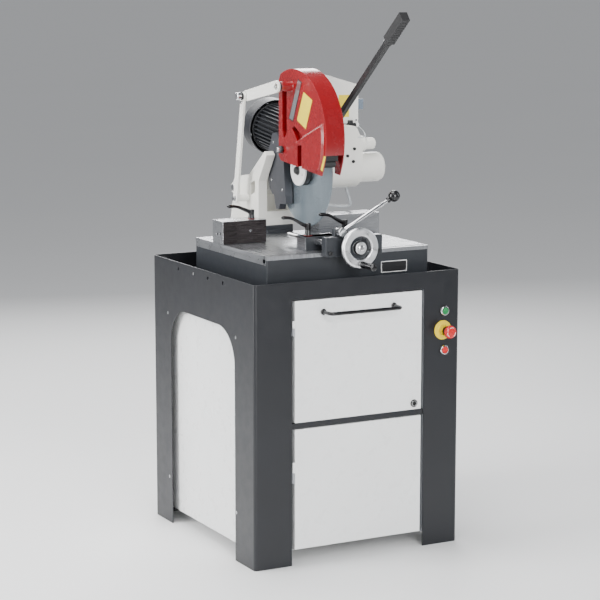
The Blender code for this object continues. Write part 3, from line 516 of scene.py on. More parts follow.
def tube(name, points, radius, sides, look, body=None, slot=None, radii=None):
    """Round tube along a route as a mesh, with closed ends."""
    bm = bmesh.new()
    points = [Vector(p) for p in points]
    rings = []
    normal = None
    for i, point in enumerate(points):
        run = (points[min(i + 1, len(points) - 1)] - points[max(i - 1, 0)]).normalized()
        if normal is None:
            normal = run.orthogonal().normalized()
        normal = (normal - run * normal.dot(run)).normalized()
        other = run.cross(normal)
        size = radii[i] if radii else radius
        rings.append(
            [bm.verts.new(point + size * (normal * math.cos(2 * math.pi * k / sides)
                        + other * math.sin(2 * math.pi * k / sides))) for k in range(sides)])
    for one, two in zip(rings, rings[1:]):
        for k in range(sides):
            bm.faces.new((one[k], one[(k + 1) % sides], two[(k + 1) % sides], two[k]))
    bm.faces.new(reversed(rings[0]))
    bm.faces.new(rings[-1])
    obj = to_object(name, bm)
    settle(obj)
    return dress(obj, look, body, slot)


def turned(
        name, profile, start, direction, segments, radius, look, body=None, slot=None, cuts=(), node=None):
    """A turned piece; `radius` rounds the corners of its profile."""
    return shape(
        name, lathe(profile, start, direction, segments, radius), 0.0, look, body, slot, cuts=cuts,
        node=node)


def hex_head(start, direction, across, height):
    """Hexagon head bolt on a washer, standing on a face at `start`."""
    bm = lathe(band(0, across * 0.68, 0, 0.0012), start, direction, 32, 0.0003)
    head = bmesh.new()
    bmesh.ops.create_cone(
        head, cap_ends=True, segments=6, radius1=across * 0.577, radius2=across * 0.577, depth=height)
    bmesh.ops.transform(
        head, matrix=along(Vector(start) + Vector(direction) * (0.0012 + height / 2), direction),
        verts=head.verts)
    merged = bpy.data.meshes.new("head")
    head.to_mesh(merged)
    head.free()
    bm.from_mesh(merged)
    bpy.data.meshes.remove(merged)
    return bm


def socket_screws(name, spots, direction, radius, height, body, look="satin_black"):
    """Cap screws with hexagon sockets, one at each spot, numbered from 0."""
    for index, spot in enumerate(spots):
        head = lathe(band(0, radius, 0, height), spot, direction, 40, radius * 0.15)
        socket = bmesh.new()
        bmesh.ops.create_cone(
            socket, cap_ends=True, segments=6, radius1=radius * 0.5, radius2=radius * 0.5, depth=height)
        bmesh.ops.transform(
            socket, matrix=along(Vector(spot) + direction * height, direction), verts=socket.verts)
        shape(f"{name}_{index}", head, 0.0, look, body, "steel", cuts=(socket,))


# ---------------------------------------------------------------- stand
def build_stand():
    x, y, top = FRAME_HIGH
    sheet = 0.003
    arch = (
        [(-0.231, -0.01), (0.231, -0.01)] + arc((0.119, 0.596), 0.112, 0, 90, 24)
        + arc((-0.119, 0.596), 0.112, 90, 180, 24))
    cuts = [
        extrusion(rounded((-x + sheet, -y + sheet), (x - sheet, y - sheet), 0.007), "Z", -0.01, top + 0.01),
        block((-0.2275, -0.4, -0.01), (0.2275, 0.4, 0.807)), extrusion(arch, "X", -0.4, 0.4)]
    cuts += [
        rod((-0.4, hole_y, 0.8385), (0.4, hole_y, 0.8385), 0.006, 32)
        for hole_y in (-0.153, -0.047, 0.06, 0.167)]
    for node in ("start_button_body", "estop_collar", "stop_button_body"):
        hole = middle(node)
        cuts.append(rod((hole.x, -0.37, hole.z), (hole.x, -0.35, hole.z), 0.0114, 32))
    screws = [(side, sy, sz) for side in (-1, 1) for sy in (-0.238, 0.253) for sz in (0.151, 0.687)]
    for side, sy, sz in screws:
        cuts.append(
            lathe([(0, 0), (0.0062, 0), (0.0032, 0.0024), (0, 0.0024)], (side * (x + 0.0001), sy, sz),
                (-side, 0, 0), 32, 0.0001))
    shape(
        "v_stand_frame", extrusion(rounded((-x, -y), (x, y), 0.01, 10), "Z", 0, top), 0.0007, "frame_black",
        cuts=cuts)
    shape(
        "v_cross_bar", block((-0.24, -y + sheet + 0.0002, 0.4185), (0.24, -0.345, 0.435)), 0.001,
        "frame_black", "stand")
    for index, (side, sy, sz) in enumerate(screws):
        head = lathe(
            [(0, 0.0004), (0.0052, 0.0004), (0.0034, 0.0022), (0, 0.0022)], (side * x, sy, sz),
            (-side, 0, 0), 32, 0.0002)
        shape(
            f"v_side_screw_{index}", head, 0.0, "turned", "stand",
            cuts=(block((side * x - 0.0008, sy - 0.0035, sz - 0.0005),
                    (side * x + 0.0008, sy + 0.0035, sz + 0.0005)),))
    for side in (-1, 1):
        edges = sorted((side * 0.2292, side * 0.2278))
        shape(
            f"v_front_flange_{'left' if side < 0 else 'right'}",
            block((edges[0], -y + sheet + 0.0003, 0.045), (edges[1], -0.338, 0.806)), 0.0004, "flange_grey",
            "stand")
    refine("tray_floor", 0.0006, "frame_black")
    for node in ("side_panel_left", "side_panel_right", "cabinet_back"):
        refine(node, 0.0006, "panel_white")


def build_doors():
    for label in ("upper", "lower"):
        refine(f"{label}_door", 0.0009, "panel_white", segments=3, angle=50)
        refine(f"{label}_door_hinge", 0.0003, "flange_grey", angle=50)
    low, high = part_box("door_handle")
    foot, out, bend, height = FRONT - GAP, low.y + 0.0055, 0.013, (low.z + high.z) / 2
    left, right = low.x + 0.0055, high.x - 0.0055
    corner = [(left, foot)] + [
        (left + bend - bend * math.cos(a), out + bend - bend * math.sin(a))
        for a in (math.pi * k / 20 for k in range(11))]
    mirrored = [(left + right - px, py) for px, py in reversed(corner)]
    tube(
        "v_door_handle", [Vector((px, py, height)) for px, py in corner + mirrored], 0.0055, 24,
        "black_plastic")
    for label, px in (("left", left), ("right", right)):
        turned(
            f"v_handle_foot_{label}", [(0.0058, 0), (0.0095, 0), (0.0095, 0.003), (0.0058, 0.0045)],
            (px, FRONT - GAP, height), -Y, 72, 0.0008, "black_plastic", "upper_door")
    lx, lz = middle("door_lock").x, 0.456
    lock = (lx, FRONT - GAP, lz)
    turned(
        "v_door_lock", [(0, -0.02), (0.008, -0.02), (0.008, 0.0), (0.012, 0.0), (0.012, 0.0026),
            (0.0105, 0.0038), (0.0078, 0.0038), (0.0074, 0.0024), (0, 0.0024)], lock, -Y, 64, 0.0005,
        "black_plastic", cuts=(block((lx - 0.0012, FRONT - 0.006, lz - 0.0052),
                (lx + 0.0012, FRONT - 0.0012, lz + 0.0052)),))
    turned(
        "v_lock_ring", band(0.0076, 0.0088, 0.0022, 0.004), lock, -Y, 64, 0.0003, "chrome", "door_lock",
        "steel")
    shape(
        "v_lock_cam", block((lx - 0.007, -0.344, lz - 0.0165), (lx + 0.007, -0.3412, lz + 0.006)), 0.0006,
        "turned", "door_lock")


def build_controls():
    face = FRONT - GAP
    for label, look in (("start", "button_green"), ("stop", "button_red")):
        x, z = middle(f"{label}_button_body").xz
        turned(
            f"v_{label}_bezel", [(0.0108, -0.03), (0.0108, 0.0), (0.0149, 0.0), (0.0149, 0.0035),
                (0.0132, 0.0066), (0.0116, 0.007), (0.0114, -0.002), (0.009, -0.002), (0.009, -0.03)],
            (x, face, z), -Y, 96, 0.0005, "chrome", node=f"{label}_button_body")
        turned(
            f"v_{label}_ring", [(0.0152, 0.0), (0.0172, 0.0), (0.0168, 0.0012), (0.0152, 0.0012)],
            (x, face, z), -Y, 96, 0.0003, "satin_black", "stand")
        turned(
            f"v_{label}_button", [(0, -0.014), (0.006, -0.014), (0.006, 0.0035), (0.0106, 0.0035),
                (0.0106, 0.0078), (0.0092, 0.0088), (0.005, 0.0083), (0, 0.0081)], (x, face, z), -Y, 96,
            0.0006, look)
    x, z = middle("estop_collar").xz
    turned(
        "v_estop_collar", [(0.009, -0.046), (0.0108, -0.046), (0.0108, 0.0), (0.03, 0.0), (0.03, 0.0026),
            (0.0285, 0.004), (0.0165, 0.0052), (0.016, 0.022), (0.014, 0.022), (0.0135, 0.012),
            (0.009, 0.012)], (x, face, z), -Y, 96, 0.0009, "collar_yellow")
    turned(
        "v_estop_button", [(0, -0.006), (0.008, -0.006), (0.008, 0.036), (0.012, 0.037), (0.0185, 0.0385),
            (0.02, 0.042), (0.0198, 0.0475), (0.018, 0.051), (0.012, 0.0538), (0.006, 0.0546), (0, 0.0549)],
        (x, face, z), -Y, 96, 0.0016, "button_red")
    turned(
        "v_estop_neck", band(0.0082, 0.0118, 0.02, 0.0355), (x, face, z), -Y, 64, 0.0006, "satin_black",
        "estop_button")
    for k in range(3):
        angle = 90 + 120 * k
        arrow = (
            arc((x, z), 0.015, angle - 28, angle + 28, 8) + arc((x, z), 0.013, angle + 28, angle - 28, 8))
        shape(
            f"v_estop_mark_{k}", extrusion(arrow, "Y", face - 0.0515, face - 0.0531), 0.0001, "label_white",
            "estop_button", "button_red")


def build_coolant():
    refine("coolant_tank", 0.001, "frame_black")
    refine("coolant_pump", 0.001, "motor_black")


# ---------------------------------------------------------------- bed, fences and vise
def build_bed():
    (x0, y0, z0), (x1, y1, z1) = BED_LOW, BED_HIGH
    chamfer, land = 0.008, 0.0115              # the land is the machined band round the top

    def outline(inset):
        return [
            (x0 + inset, y0 + inset), (x1 - chamfer - inset * 0.5, y0 + inset),
            (x1 - inset, y0 + chamfer + inset * 0.5), (x1 - inset, y1 - inset), (x0 + inset, y1 - inset)]
    neck, wide, slot_y = 0.0045, 0.0085, -0.277
    tee = [
        (slot_y - neck, z1 + 0.01), (slot_y - neck, z1 - 0.011), (slot_y - wide, z1 - 0.011),
        (slot_y - wide, z1 - 0.022), (slot_y + wide, z1 - 0.022), (slot_y + wide, z1 - 0.011),
        (slot_y + neck, z1 - 0.011), (slot_y + neck, z1 + 0.01)]

    def common():
        return [
            rod((0, 0, z1 - 0.022), (0, 0, z1 + 0.01), 0.1846, 128),
            extrusion(tee, "X", x0 - 0.01, x1 + 0.01)]
    shape(
        "v_bed_casting", extrusion(outline(0.0009), "Z", z0, z1 - land), 0.0022, "cast_dark", node="bed",
        cuts=[block((x0 + 0.014, y0 + 0.014, z0 - 0.01), (x1 - 0.014, y1 - 0.014, z1 - 0.046)),
            rod((0, 0, 0.87), (0, 0, 0.92), 0.0302, 64)] + common(), segments=3)
    shape(
        "v_bed_top", extrusion(outline(0.0), "Z", z1 - land, z1), 0.0009, "machined", "stand", "cast_dark",
        cuts=common() + [rod((px, py, z1 - 0.01), (px, py, z1 + 0.01), 0.0052, 32)
            for px, py in ((-0.25, 0.13), (-0.25, -0.18), (0.255, 0.13), (0.255, -0.18))])
    # painted reflection: a thin machined-steel strip on the bed's left face, below the top band, stands for
    # the light band reflected there
    shape(
        "v_bed_side_land", block((x0 - 0.0004, y0 + 0.01, z1 - 0.027),
            (x0 + 0.002, y1 - 0.006, z1 - land - 0.0004)), 0.0006, "machined", "stand", "cast_dark",
        cuts=(extrusion(tee, "X", x0 - 0.01, x1 + 0.01),))
    plate = rounded((0.112, 0.856), (0.203, 0.891), 0.002, 4)
    inner = rounded((0.1145, 0.8585), (0.2005, 0.8885), 0.0015, 4)
    shape(
        "v_plate_frame", extrusion(plate, "Y", y0 + 0.0004, y0 - 0.0006), 0.0002, "label_white", "stand",
        "cast_dark")
    shape(
        "v_plate_face", extrusion(inner, "Y", y0 - 0.0004, y0 - 0.001), 0.0002, "satin_black", "stand",
        "cast_dark")


def build_fences():
    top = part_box("fence_left")[1].z
    for label, sx0, sx1, front, bolts in (
            ("left", -0.276, -0.127, 0.001, (-0.246,)), ("right", 0.058, 0.277, 0.0, (0.093, 0.242))):
        cuts = []
        if label == "left":
            cuts += [
                rod((-0.3, hy, hz), (-0.262, hy, hz), 0.0045, 32)
                for hy, hz in ((0.044, 0.96), (0.02, 0.964))]
            cuts.append(rod((-0.161, 0.036, 0.985), (-0.161, 0.036, 1.01), 0.0045, 32))
        cuts += [rod((px, 0.052, top - 0.006), (px, 0.052, top + 0.01), 0.0055, 32) for px in bolts]
        shape(
            f"v_fence_{label}", block((sx0, front, BED_HIGH.z + GAP), (sx1, 0.075, top)), 0.0011, "ground",
            cuts=cuts)
        socket_screws(
            f"v_fence_bolt_{label}", [(px, 0.052, top - 0.0055) for px in bolts], Z, 0.005, 0.005, "stand")
    face = rounded((-0.2752, 0.931), (-0.1278, top - 0.0008), 0.001, 3)
    shape("v_fence_face", extrusion(face, "Y", 0.0012, 0.0), 0.0003, "blued", "stand")
    turned(
        "v_fence_face_screw_0", band(0, 0.0034, 0, 0.0006), (-0.182, 0.0002, 0.968), -Y, 40, 0.0003,
        "turned", "stand")


def clamp_lever(node, hub_height, reach, rise):
    """Clamp lever: turned hub with a waist, tapering bent arm with a bulbed end, and a steel stud."""
    base, body = joint_point(f"{node}_turn"), body_of(node)
    turned(
        f"v_{node}", [(0, GAP), (0.0105, GAP), (0.01, 0.004), (0.0086, hub_height * 0.45),
            (0.0092, hub_height - 0.01), (0.0098, hub_height - 0.003), (0.0078, hub_height),
            (0, hub_height)], base, Z, 64, 0.0012, "black_plastic")
    turned(f"v_{node}_stud", band(0, 0.004, -0.0115, 0.0), base, Z, 32, 0.0004, "turned", body)
    turned(
        f"v_{node}_cap", [(0, -0.004), (0.0048, -0.004), (0.0048, 0.0004), (0.0036, 0.0009), (0, 0.0009)],
        base + Z * (hub_height - 0.0004), Z, 40, 0.0004, "turned", body)
    bends = ((-0.001, -0.01), (-0.022, -0.0005), (-0.6 * reach, 0.78 * rise), (-reach, rise))
    route = smooth_route([base + Vector((out, 0, hub_height + up)) for out, up in bends], 0.003)
    radii = []
    for i in range(len(route)):
        t = i / (len(route) - 1)
        taper = 0.007 - 0.0024 * min(1.0, t / 0.6)
        bulb = 0.0012 * max(0.0, (t - 0.6) / 0.4)
        tip = math.sqrt(max(0.02, 1 - max(0.0, (t - 0.9) / 0.1) ** 2))
        radii.append((taper + bulb) * tip)
    tube(f"v_{node}_arm", route, 0.005, 24, "black_plastic", body, radii=radii)


def build_vise():
    low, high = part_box("vise_bracket")
    y_front, y_back = low.y, high.y
    shape(
        "v_vise_bracket", block((-0.093, y_front, 0.92), (0.1, y_back, 0.978)), 0.0018, "cast_dark",
        joins=(extrusion(rounded((-0.059, 0.96), (-0.031, 1.007), 0.012, 8), "Y", -0.313, y_back),),
        cuts=(rod((0, -0.35, SPINDLE.z), (0, -0.28, SPINDLE.z), 0.0094, 48),
            rod((-0.045, -0.35, 0.9945), (-0.045, -0.28, 0.9945), 0.0064, 32)), segments=3)
    shape(
        "v_vise_bracket_top", block((-0.0915, y_front + 0.0015, 0.9778), (0.0985, y_back - 0.0015, 0.9783)),
        0.0002, "machined", "stand", "cast_dark")
    socket_screws(
        "v_bracket_screw", [(px, y_front, 0.931) for px in (-0.078, 0.085)], -Y, 0.0065, 0.005, "stand")
    for label in ("left", "right"):
        start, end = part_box(f"vise_rod_{label}")
        turned(
            f"v_vise_rod_{label}", band(0, 0.009, 0, end.y - start.y),
            ((start.x + end.x) / 2, start.y, (start.z + end.z) / 2), Y, 64, 0.0015, "chrome")

    def bores():
        return [
            rod((hx, -0.26, hz), (hx, -0.16, hz), 0.0094, 48)
            for hx, hz in ((-0.078, 0.957), (0.085, 0.957), (0.0, SPINDLE.z))]

    def stud_holes():
        return [rod((hx, -0.207, 0.955), (hx, -0.207, 0.98), 0.0045, 32) for hx in (-0.092, 0.035)]
    jaw_low, jaw_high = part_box("vise_jaw")
    shape(
        "v_vise_jaw", block(jaw_low, (jaw_high.x, jaw_high.y - 0.0085, jaw_high.z)), 0.0018, "cast_dark",
        cuts=bores() + stud_holes(), segments=3)
    shape(
        "v_jaw_face", block((jaw_low.x, jaw_high.y - 0.0083, jaw_low.z + 0.0005), jaw_high), 0.0008,
        "ground", "vise_jaw", cuts=bores())
    for label, side in (("left", -1), ("right", 1)):
        inner, outer = sorted((side * (jaw_high.x - 0.0012), side * (jaw_high.x + GAP)))
        shape(
            f"v_jaw_end_{label}", block((inner, jaw_low.y + 0.002, jaw_low.z + 0.001),
                (outer, jaw_high.y - 0.009, jaw_high.z - 0.0016)), 0.0003, "ground", "vise_jaw")
    shape(
        "v_jaw_top", block((jaw_low.x + 0.0018, jaw_low.y + 0.0018, jaw_high.z - 0.0004),
            (jaw_high.x - 0.0018, jaw_high.y - 0.01, jaw_high.z)), 0.0, "machined", "vise_jaw",
        cuts=stud_holes())
    clamp_lever("jaw_lever_left", 0.038, 0.091, 0.0215)
    clamp_lever("jaw_lever_right", 0.041, 0.091, 0.0215)
    clamp_lever("fence_lever", 0.029, 0.085, 0.0135)
    for node, body in (
            ("jaw_lever_left", "vise_jaw"), ("jaw_lever_right", "vise_jaw"), ("fence_lever", "stand")):
        turned(
            f"v_{node}_turn_ring", band(0.0045, 0.0125, 0.0, 0.0014),
            joint_point(f"{node}_turn") - Z * 0.0012, Z, 48, 0.0004, "button_red", body)


def build_handwheel():
    start = Vector((0, -0.15, SPINDLE.z))
    turned(
        "v_vise_spindle", [(0, 0), (0.009, 0), (0.009, 0.1735), (0.023, 0.1735), (0.023, 0.195),
            (0.015, 0.195), (0.015, 0.1985), (0, 0.1985)], start, -Y, 72, 0.001, "turned")
    turns, steps, thread = 60, 16, []
    for k in range(turns * steps):
        angle = 2 * math.pi * k / steps
        thread.append(
            Vector((0.0088 * math.cos(angle), -0.166 - 0.105 * k / (turns * steps),
                    SPINDLE.z + 0.0088 * math.sin(angle))))
    tube("v_spindle_thread", thread, 0.0005, 6, "turned", "handwheel", "chrome")
    wheel_start = Vector((0, -0.3488, SPINDLE.z))
    window = arc((0, SPINDLE.z), 0.0325, -25, 75, 20) + arc((0, SPINDLE.z), 0.0222, 75, -25, 20)
    shape(
        "v_handwheel", lathe([(0, 0), (0.018, 0), (0.018, 0.004), (0.05, 0.0045), (0.059, 0.007),
                (0.0612, 0.0105), (0.0612, 0.0165), (0.059, 0.021), (0.055, 0.0222), (0.0385, 0.0222),
                (0.0355, 0.02), (0.032, 0.01), (0.0225, 0.0085), (0.02, 0.011), (0.019, 0.0222),
                (0.017, 0.024), (0, 0.024)], wheel_start, -Y, 128, 0.0018), 0.0005, "polished",
        cuts=(extrusion(fillet(window, 0.003), "Y", -0.39, -0.34),
            rod((0, -0.39, SPINDLE.z - 0.048), (0, -0.34, SPINDLE.z - 0.048), 0.0046, 32)))
    # painted shade: a thin dark ring laid on the floor of the wheel's recess stands for the shade there
    shape(
        "v_handwheel_web", lathe([(0.0208, 0.0088), (0.0322, 0.0103), (0.0322, 0.011), (0.0208, 0.0095)],
            wheel_start, -Y, 96, 0.0), 0.0, "cast_dark", "handwheel", "machined",
        cuts=(extrusion(fillet([(x * 0.995, z) for x, z in window], 0.003), "Y", -0.39, -0.34),
            rod((0, -0.39, SPINDLE.z - 0.048), (0, -0.34, SPINDLE.z - 0.048), 0.015, 32)))
    turned(
        "v_handwheel_hub_ring", [(0.019, 0.01), (0.0212, 0.01), (0.0212, 0.0226), (0.019, 0.0228)],
        wheel_start, -Y, 96, 0.0002, "satin_black", "handwheel")
    turned(
        "v_handwheel_cap", [(0, 0.0), (0.0095, 0.0), (0.0095, 0.001), (0.006, 0.002), (0, 0.0021)],
        (0, -0.3727, SPINDLE.z), -Y, 64, 0.0005, "chrome", "handwheel")
    grip = (0, -0.3695, joint_point("handwheel_grip_spin").z)
    turned(
        "v_handwheel_grip", [(0, 0.001), (0.0085, 0.001), (0.01, 0.012), (0.009, 0.04), (0.0108, 0.066),
            (0.0115, 0.074), (0.009, 0.0815), (0.0, 0.0825)], grip, -Y, 72, 0.003, "black_plastic")
    turned(
        "v_handwheel_grip_stud", band(0, 0.0042, -0.012, 0.001), grip, -Y, 40, 0.0003, "chrome",
        "handwheel_grip")


def build_quick_lever():
    """Lever that presses the jaw home, on the ear of the vise's bracket."""
    pivot_x, pivot_z = -0.045, 0.9945
    ear = (pivot_x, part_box("vise_bracket")[1].y - 0.0015, pivot_z)
    root, knob = Vector((pivot_x, -0.33, pivot_z)), Vector((0.136, -0.33, 1.092))
    run = (knob - root).normalized()
    turned(
        "v_quick_lever", [(0, 0), (0.006, 0), (0.006, 0.0156), (0.014, 0.0156), (0.014, 0.044),
            (0.0, 0.044)], ear, -Y, 64, 0.0015, "turned")
    turned(
        "v_quick_rod", [(0, 0), (0.006, 0), (0.006, 0.15), (0.0045, 0.152), (0.0045, 0.178), (0, 0.178)],
        root + run * 0.012, run, 48, 0.0008, "chrome", "quick_lever")
    turned(
        "v_quick_ferrule", [(0.0045, 0), (0.0078, 0), (0.0088, 0.004), (0.0088, 0.01), (0.0045, 0.01)],
        knob - run * 0.027, run, 48, 0.0008, "black_plastic", "quick_lever", "chrome")
    ball = [(0, -0.018)] + [
        (0.018 * math.sin(a), -0.018 * math.cos(a)) for a in (math.pi * k / 32
            for k in range(1, 32))] + [(0, 0.018)]
    turned("v_quick_knob", ball, knob, run, 64, 0.0001, "black_plastic", "quick_lever", "chrome")


# ---------------------------------------------------------------- turntable and console
def build_turntable():
    top = BED_HIGH.z - GAP
    shape(
        "v_turntable", lathe([(0, -0.045), (0.0298, -0.045), (0.0298, -0.0214), (0.184, -0.0214),
                (0.184, 0), (0, 0)], (0, 0, top), Z, 144, 0.0008), 0.0005, "machined",
        cuts=(block((-0.004, -0.125, 0.9108), (0.004, 0.065, 0.94)),))
    shape(
        "v_turntable_arm", extrusion(rounded((-0.062, 0.176), (0.062, 0.385), 0.01), "Z", top + 0.0009,
            ARM_TOP), 0.002, "cast_dark", "turntable", "machined",
        joins=(block((-0.04, 0.165, 0.9245), (0.04, 0.18, 0.94)),), segments=3)


def build_console():
    seat = ARM_TOP + GAP
    boss = (PIVOT.y, PIVOT.z)
    tall = (
        [(0.18, seat), (0.18, 1.1), (0.122, 1.186), (0.136, 1.198), (0.245, 1.116)]
        + arc(boss, 0.036, 80, -30, 24) + [(0.385, seat)])
    short = ([(0.18, seat), (0.18, 1.0), (0.28, 1.08)] + arc(boss, 0.036, 100, -30, 24) + [(0.385, seat)])
    window = fillet([(0.205, 1.062), (0.238, 1.048), (0.238, 1.088), (0.205, 1.1)], 0.006, 5)
    shape(
        "v_console", extrusion(list(reversed(tall)), "X", -0.064, -0.034), 0.003, "cast_white",
        joins=(extrusion(list(reversed(short)), "X", 0.044, 0.064),
            block((-0.05, 0.18, seat), (0.05, 0.385, 0.975)),
            block((-0.05, 0.1805, 0.96), (0.05, 0.194, 1.0)),
            rod((-0.08, *boss), (-0.05, *boss), 0.017, 64),
            extrusion([(-0.062, 1.0), (-0.0785, 1.06), (-0.05, 1.06), (-0.05, 1.0)], "Y", PIVOT.y - 0.011,
                PIVOT.y + 0.011)), cuts=(rod((-0.12, *boss), (0.1, *boss), 0.0123, 40),
            extrusion(window, "X", -0.1, -0.02)), segments=3)
    turned("v_pivot_shaft", band(0, 0.012, 0, 0.151), (-0.083, *boss), X, 64, 0.0015, "turned")
    for index, (px, py) in enumerate(((-0.054, 0.2), (-0.054, 0.365), (0.054, 0.2), (0.054, 0.365))):
        side = -1 if px < 0 else 1
        shape(
            f"v_console_bolt_{index}", hex_head((px - side * 0.028, py, 0.975), Z, 0.01, 0.006), 0.0004,
            "turned", "turntable")
    turns, coil_r = 5, 0.018
    coil = [
        Vector((0.016 + 0.025 * k / (turns * 28), PIVOT.y + coil_r * math.cos(2 * math.pi * k / 28),
                PIVOT.z + coil_r * math.sin(2 * math.pi * k / 28))) for k in range(turns * 28 + 1)]
    tube("v_return_spring", coil, 0.0021, 12, "turned")


def build_guard_post():
    """Post on the console, and the link that swings the guard from its head."""
    foot, head = Vector((-0.108, 0.253, 1.04)), Vector((-0.108, LINK_FIXED.y, LINK_FIXED.z))
    lean = math.degrees(math.atan2(head.z - foot.z, head.y - foot.y))
    outline = (
        arc((foot.y, foot.z), 0.014, lean + 90, lean + 270, 16)
        + arc((head.y, head.z), 0.0125, lean - 90, lean + 90, 16))
    shape("v_guard_post", extrusion(outline, "X", -0.112, -0.104), 0.0012, "plate_white")
    turned(
        "v_post_foot", band(0, 0.011, 0, 0.042), (-0.1065, foot.y, foot.z), X, 48, 0.0008, "plate_white",
        "turntable")
    shape(
        "v_post_foot_bolt", hex_head((-0.112, foot.y, foot.z), -X, 0.013, 0.0065), 0.0004, "turned",
        "turntable")
    turned(
        "v_post_head_stud", band(0, 0.006, 0, 0.016), (-0.106, head.y, head.z), X, 48, 0.0005, "turned",
        "turntable")
    turned(
        "v_post_head_washer", band(0, 0.0118, 0, 0.008), (-0.1118, head.y, head.z), -X, 64, 0.0006,
        "satin_black", "turntable")
    turned(
        "v_post_head_bolt", [(0, 0), (0.0121, 0), (0.0121, 0.012), (0.01, 0.014), (0, 0.0141)],
        (-0.1198, head.y, head.z), -X, 64, 0.001, "chrome", "turntable", "steel")
    turned(
        "v_post_small_screw", [(0, 0), (0.0052, 0), (0.0052, 0.004), (0, 0.0044)],
        (-0.112, head.y + 0.003, head.z - 0.021), -X, 40, 0.0008, "chrome", "turntable", "steel")
    fixed, free = (LINK_FIXED.y, LINK_FIXED.z), GUARD_PIN
    lean = math.degrees(math.atan2(free[1] - fixed[1], free[0] - fixed[0]))
    outline = arc(free, 0.019, lean - 90, lean + 90, 24) + arc(fixed, 0.017, lean + 90, lean + 270, 24)
    shape(
        "v_guard_link", extrusion(outline, "X", -0.103, -0.096), 0.0012, "plate_white",
        cuts=(rod((-0.11, *fixed), (-0.09, *fixed), 0.0064, 32),
            rod((-0.11, *free), (-0.09, *free), 0.0098, 48)))


def motor_point(distance):
    return MOTOR_REAR + MOTOR_AXIS * distance


def motor_spoke(degrees):
    """Direction square to the motor's axis."""
    angle = math.radians(degrees)
    return X * math.cos(angle) + MOTOR_UP * math.sin(angle)


# ---------------------------------------------------------------- head
def build_gearbox():
    axle = (AXLE.y, AXLE.z)

    def side(inset):
        front, back, top = -0.081 + inset, 0.1 - inset, GEARBOX_TOP - inset
        return (
            [(front, top)] + arc(axle, 0.06 - inset, 180, 270, 24)
            + [(back, AXLE.z - 0.06 + inset), (back, top)])
    shoulder = [(0.128, 1.3), (0.18, 1.3), (0.18, 1.236), (0.168, 1.24), (0.15, 1.276)]
    shape(
        "v_gearbox_housing", extrusion(side(0.0), "X", 0.0203, 0.17), 0.005, "cast_white",
        joins=(rod(motor_point(0.2803), motor_point(0.305), 0.055, 64),),
        cuts=(extrusion(shoulder, "Y", -0.1, 0.11), extrusion(side(0.009), "X", 0.01, 0.12),
            rod((0.1, *axle), (0.246, *axle), 0.0352, 48),
            rod(motor_point(0.26), motor_point(0.34), 0.0142, 32)), segments=4)
    turned(
        "v_gearbox_bell", [(0.036, 0), (0.05, 0), (0.05, 0.004), (0.047, 0.006), (0.0462, 0.084),
            (0.0425, 0.0915), (0.03, 0.0955), (0, 0.096), (0, 0.09), (0.036, 0.084)], (0.1695, *axle), X,
        96, 0.003, "cast_white", "head")
    turned(
        "v_gearbox_knob", [(0, 0), (0.024, 0), (0.024, 0.043), (0.02, 0.046), (0.0185, 0.05),
            (0.0185, 0.076), (0.015, 0.0808), (0, 0.081)], (0.15, -0.04, 1.226), X, 72, 0.002, "cast_white",
        "head")
    refine("gearbox_cover", 0.001, "plate_white")
    socket_screws(
        "v_cover_screw", [(0.0163, sy, sz) for sy, sz in ((-0.07, 1.27), (-0.07, 1.165), (0.088, 1.27),
                (0.088, 1.105))], -X, 0.0042, 0.004, "head")
    socket_screws(
        "v_front_screw", [(sx, -0.0808, sz) for sx, sz in ((0.138, 1.2148), (0.1345, 1.1755),
                (0.114, 1.1936))], -Y, 0.0048, 0.0048, "head")
    refine("arbor_bearing", 0.0006, "turned")
    refine("head_arm", 0.003, "cast_white", segments=3)
    refine("rear_blade_cover", 0.0018, "cover_grey", segments=3)
    socket_screws(
        "v_rear_cover_screw", [(-0.0298, sy, sz) for sy, sz in ((0.14, 1.225), (0.152, 1.105),
                (0.078, 1.08))], -X, 0.0045, 0.003, "head", "turned")


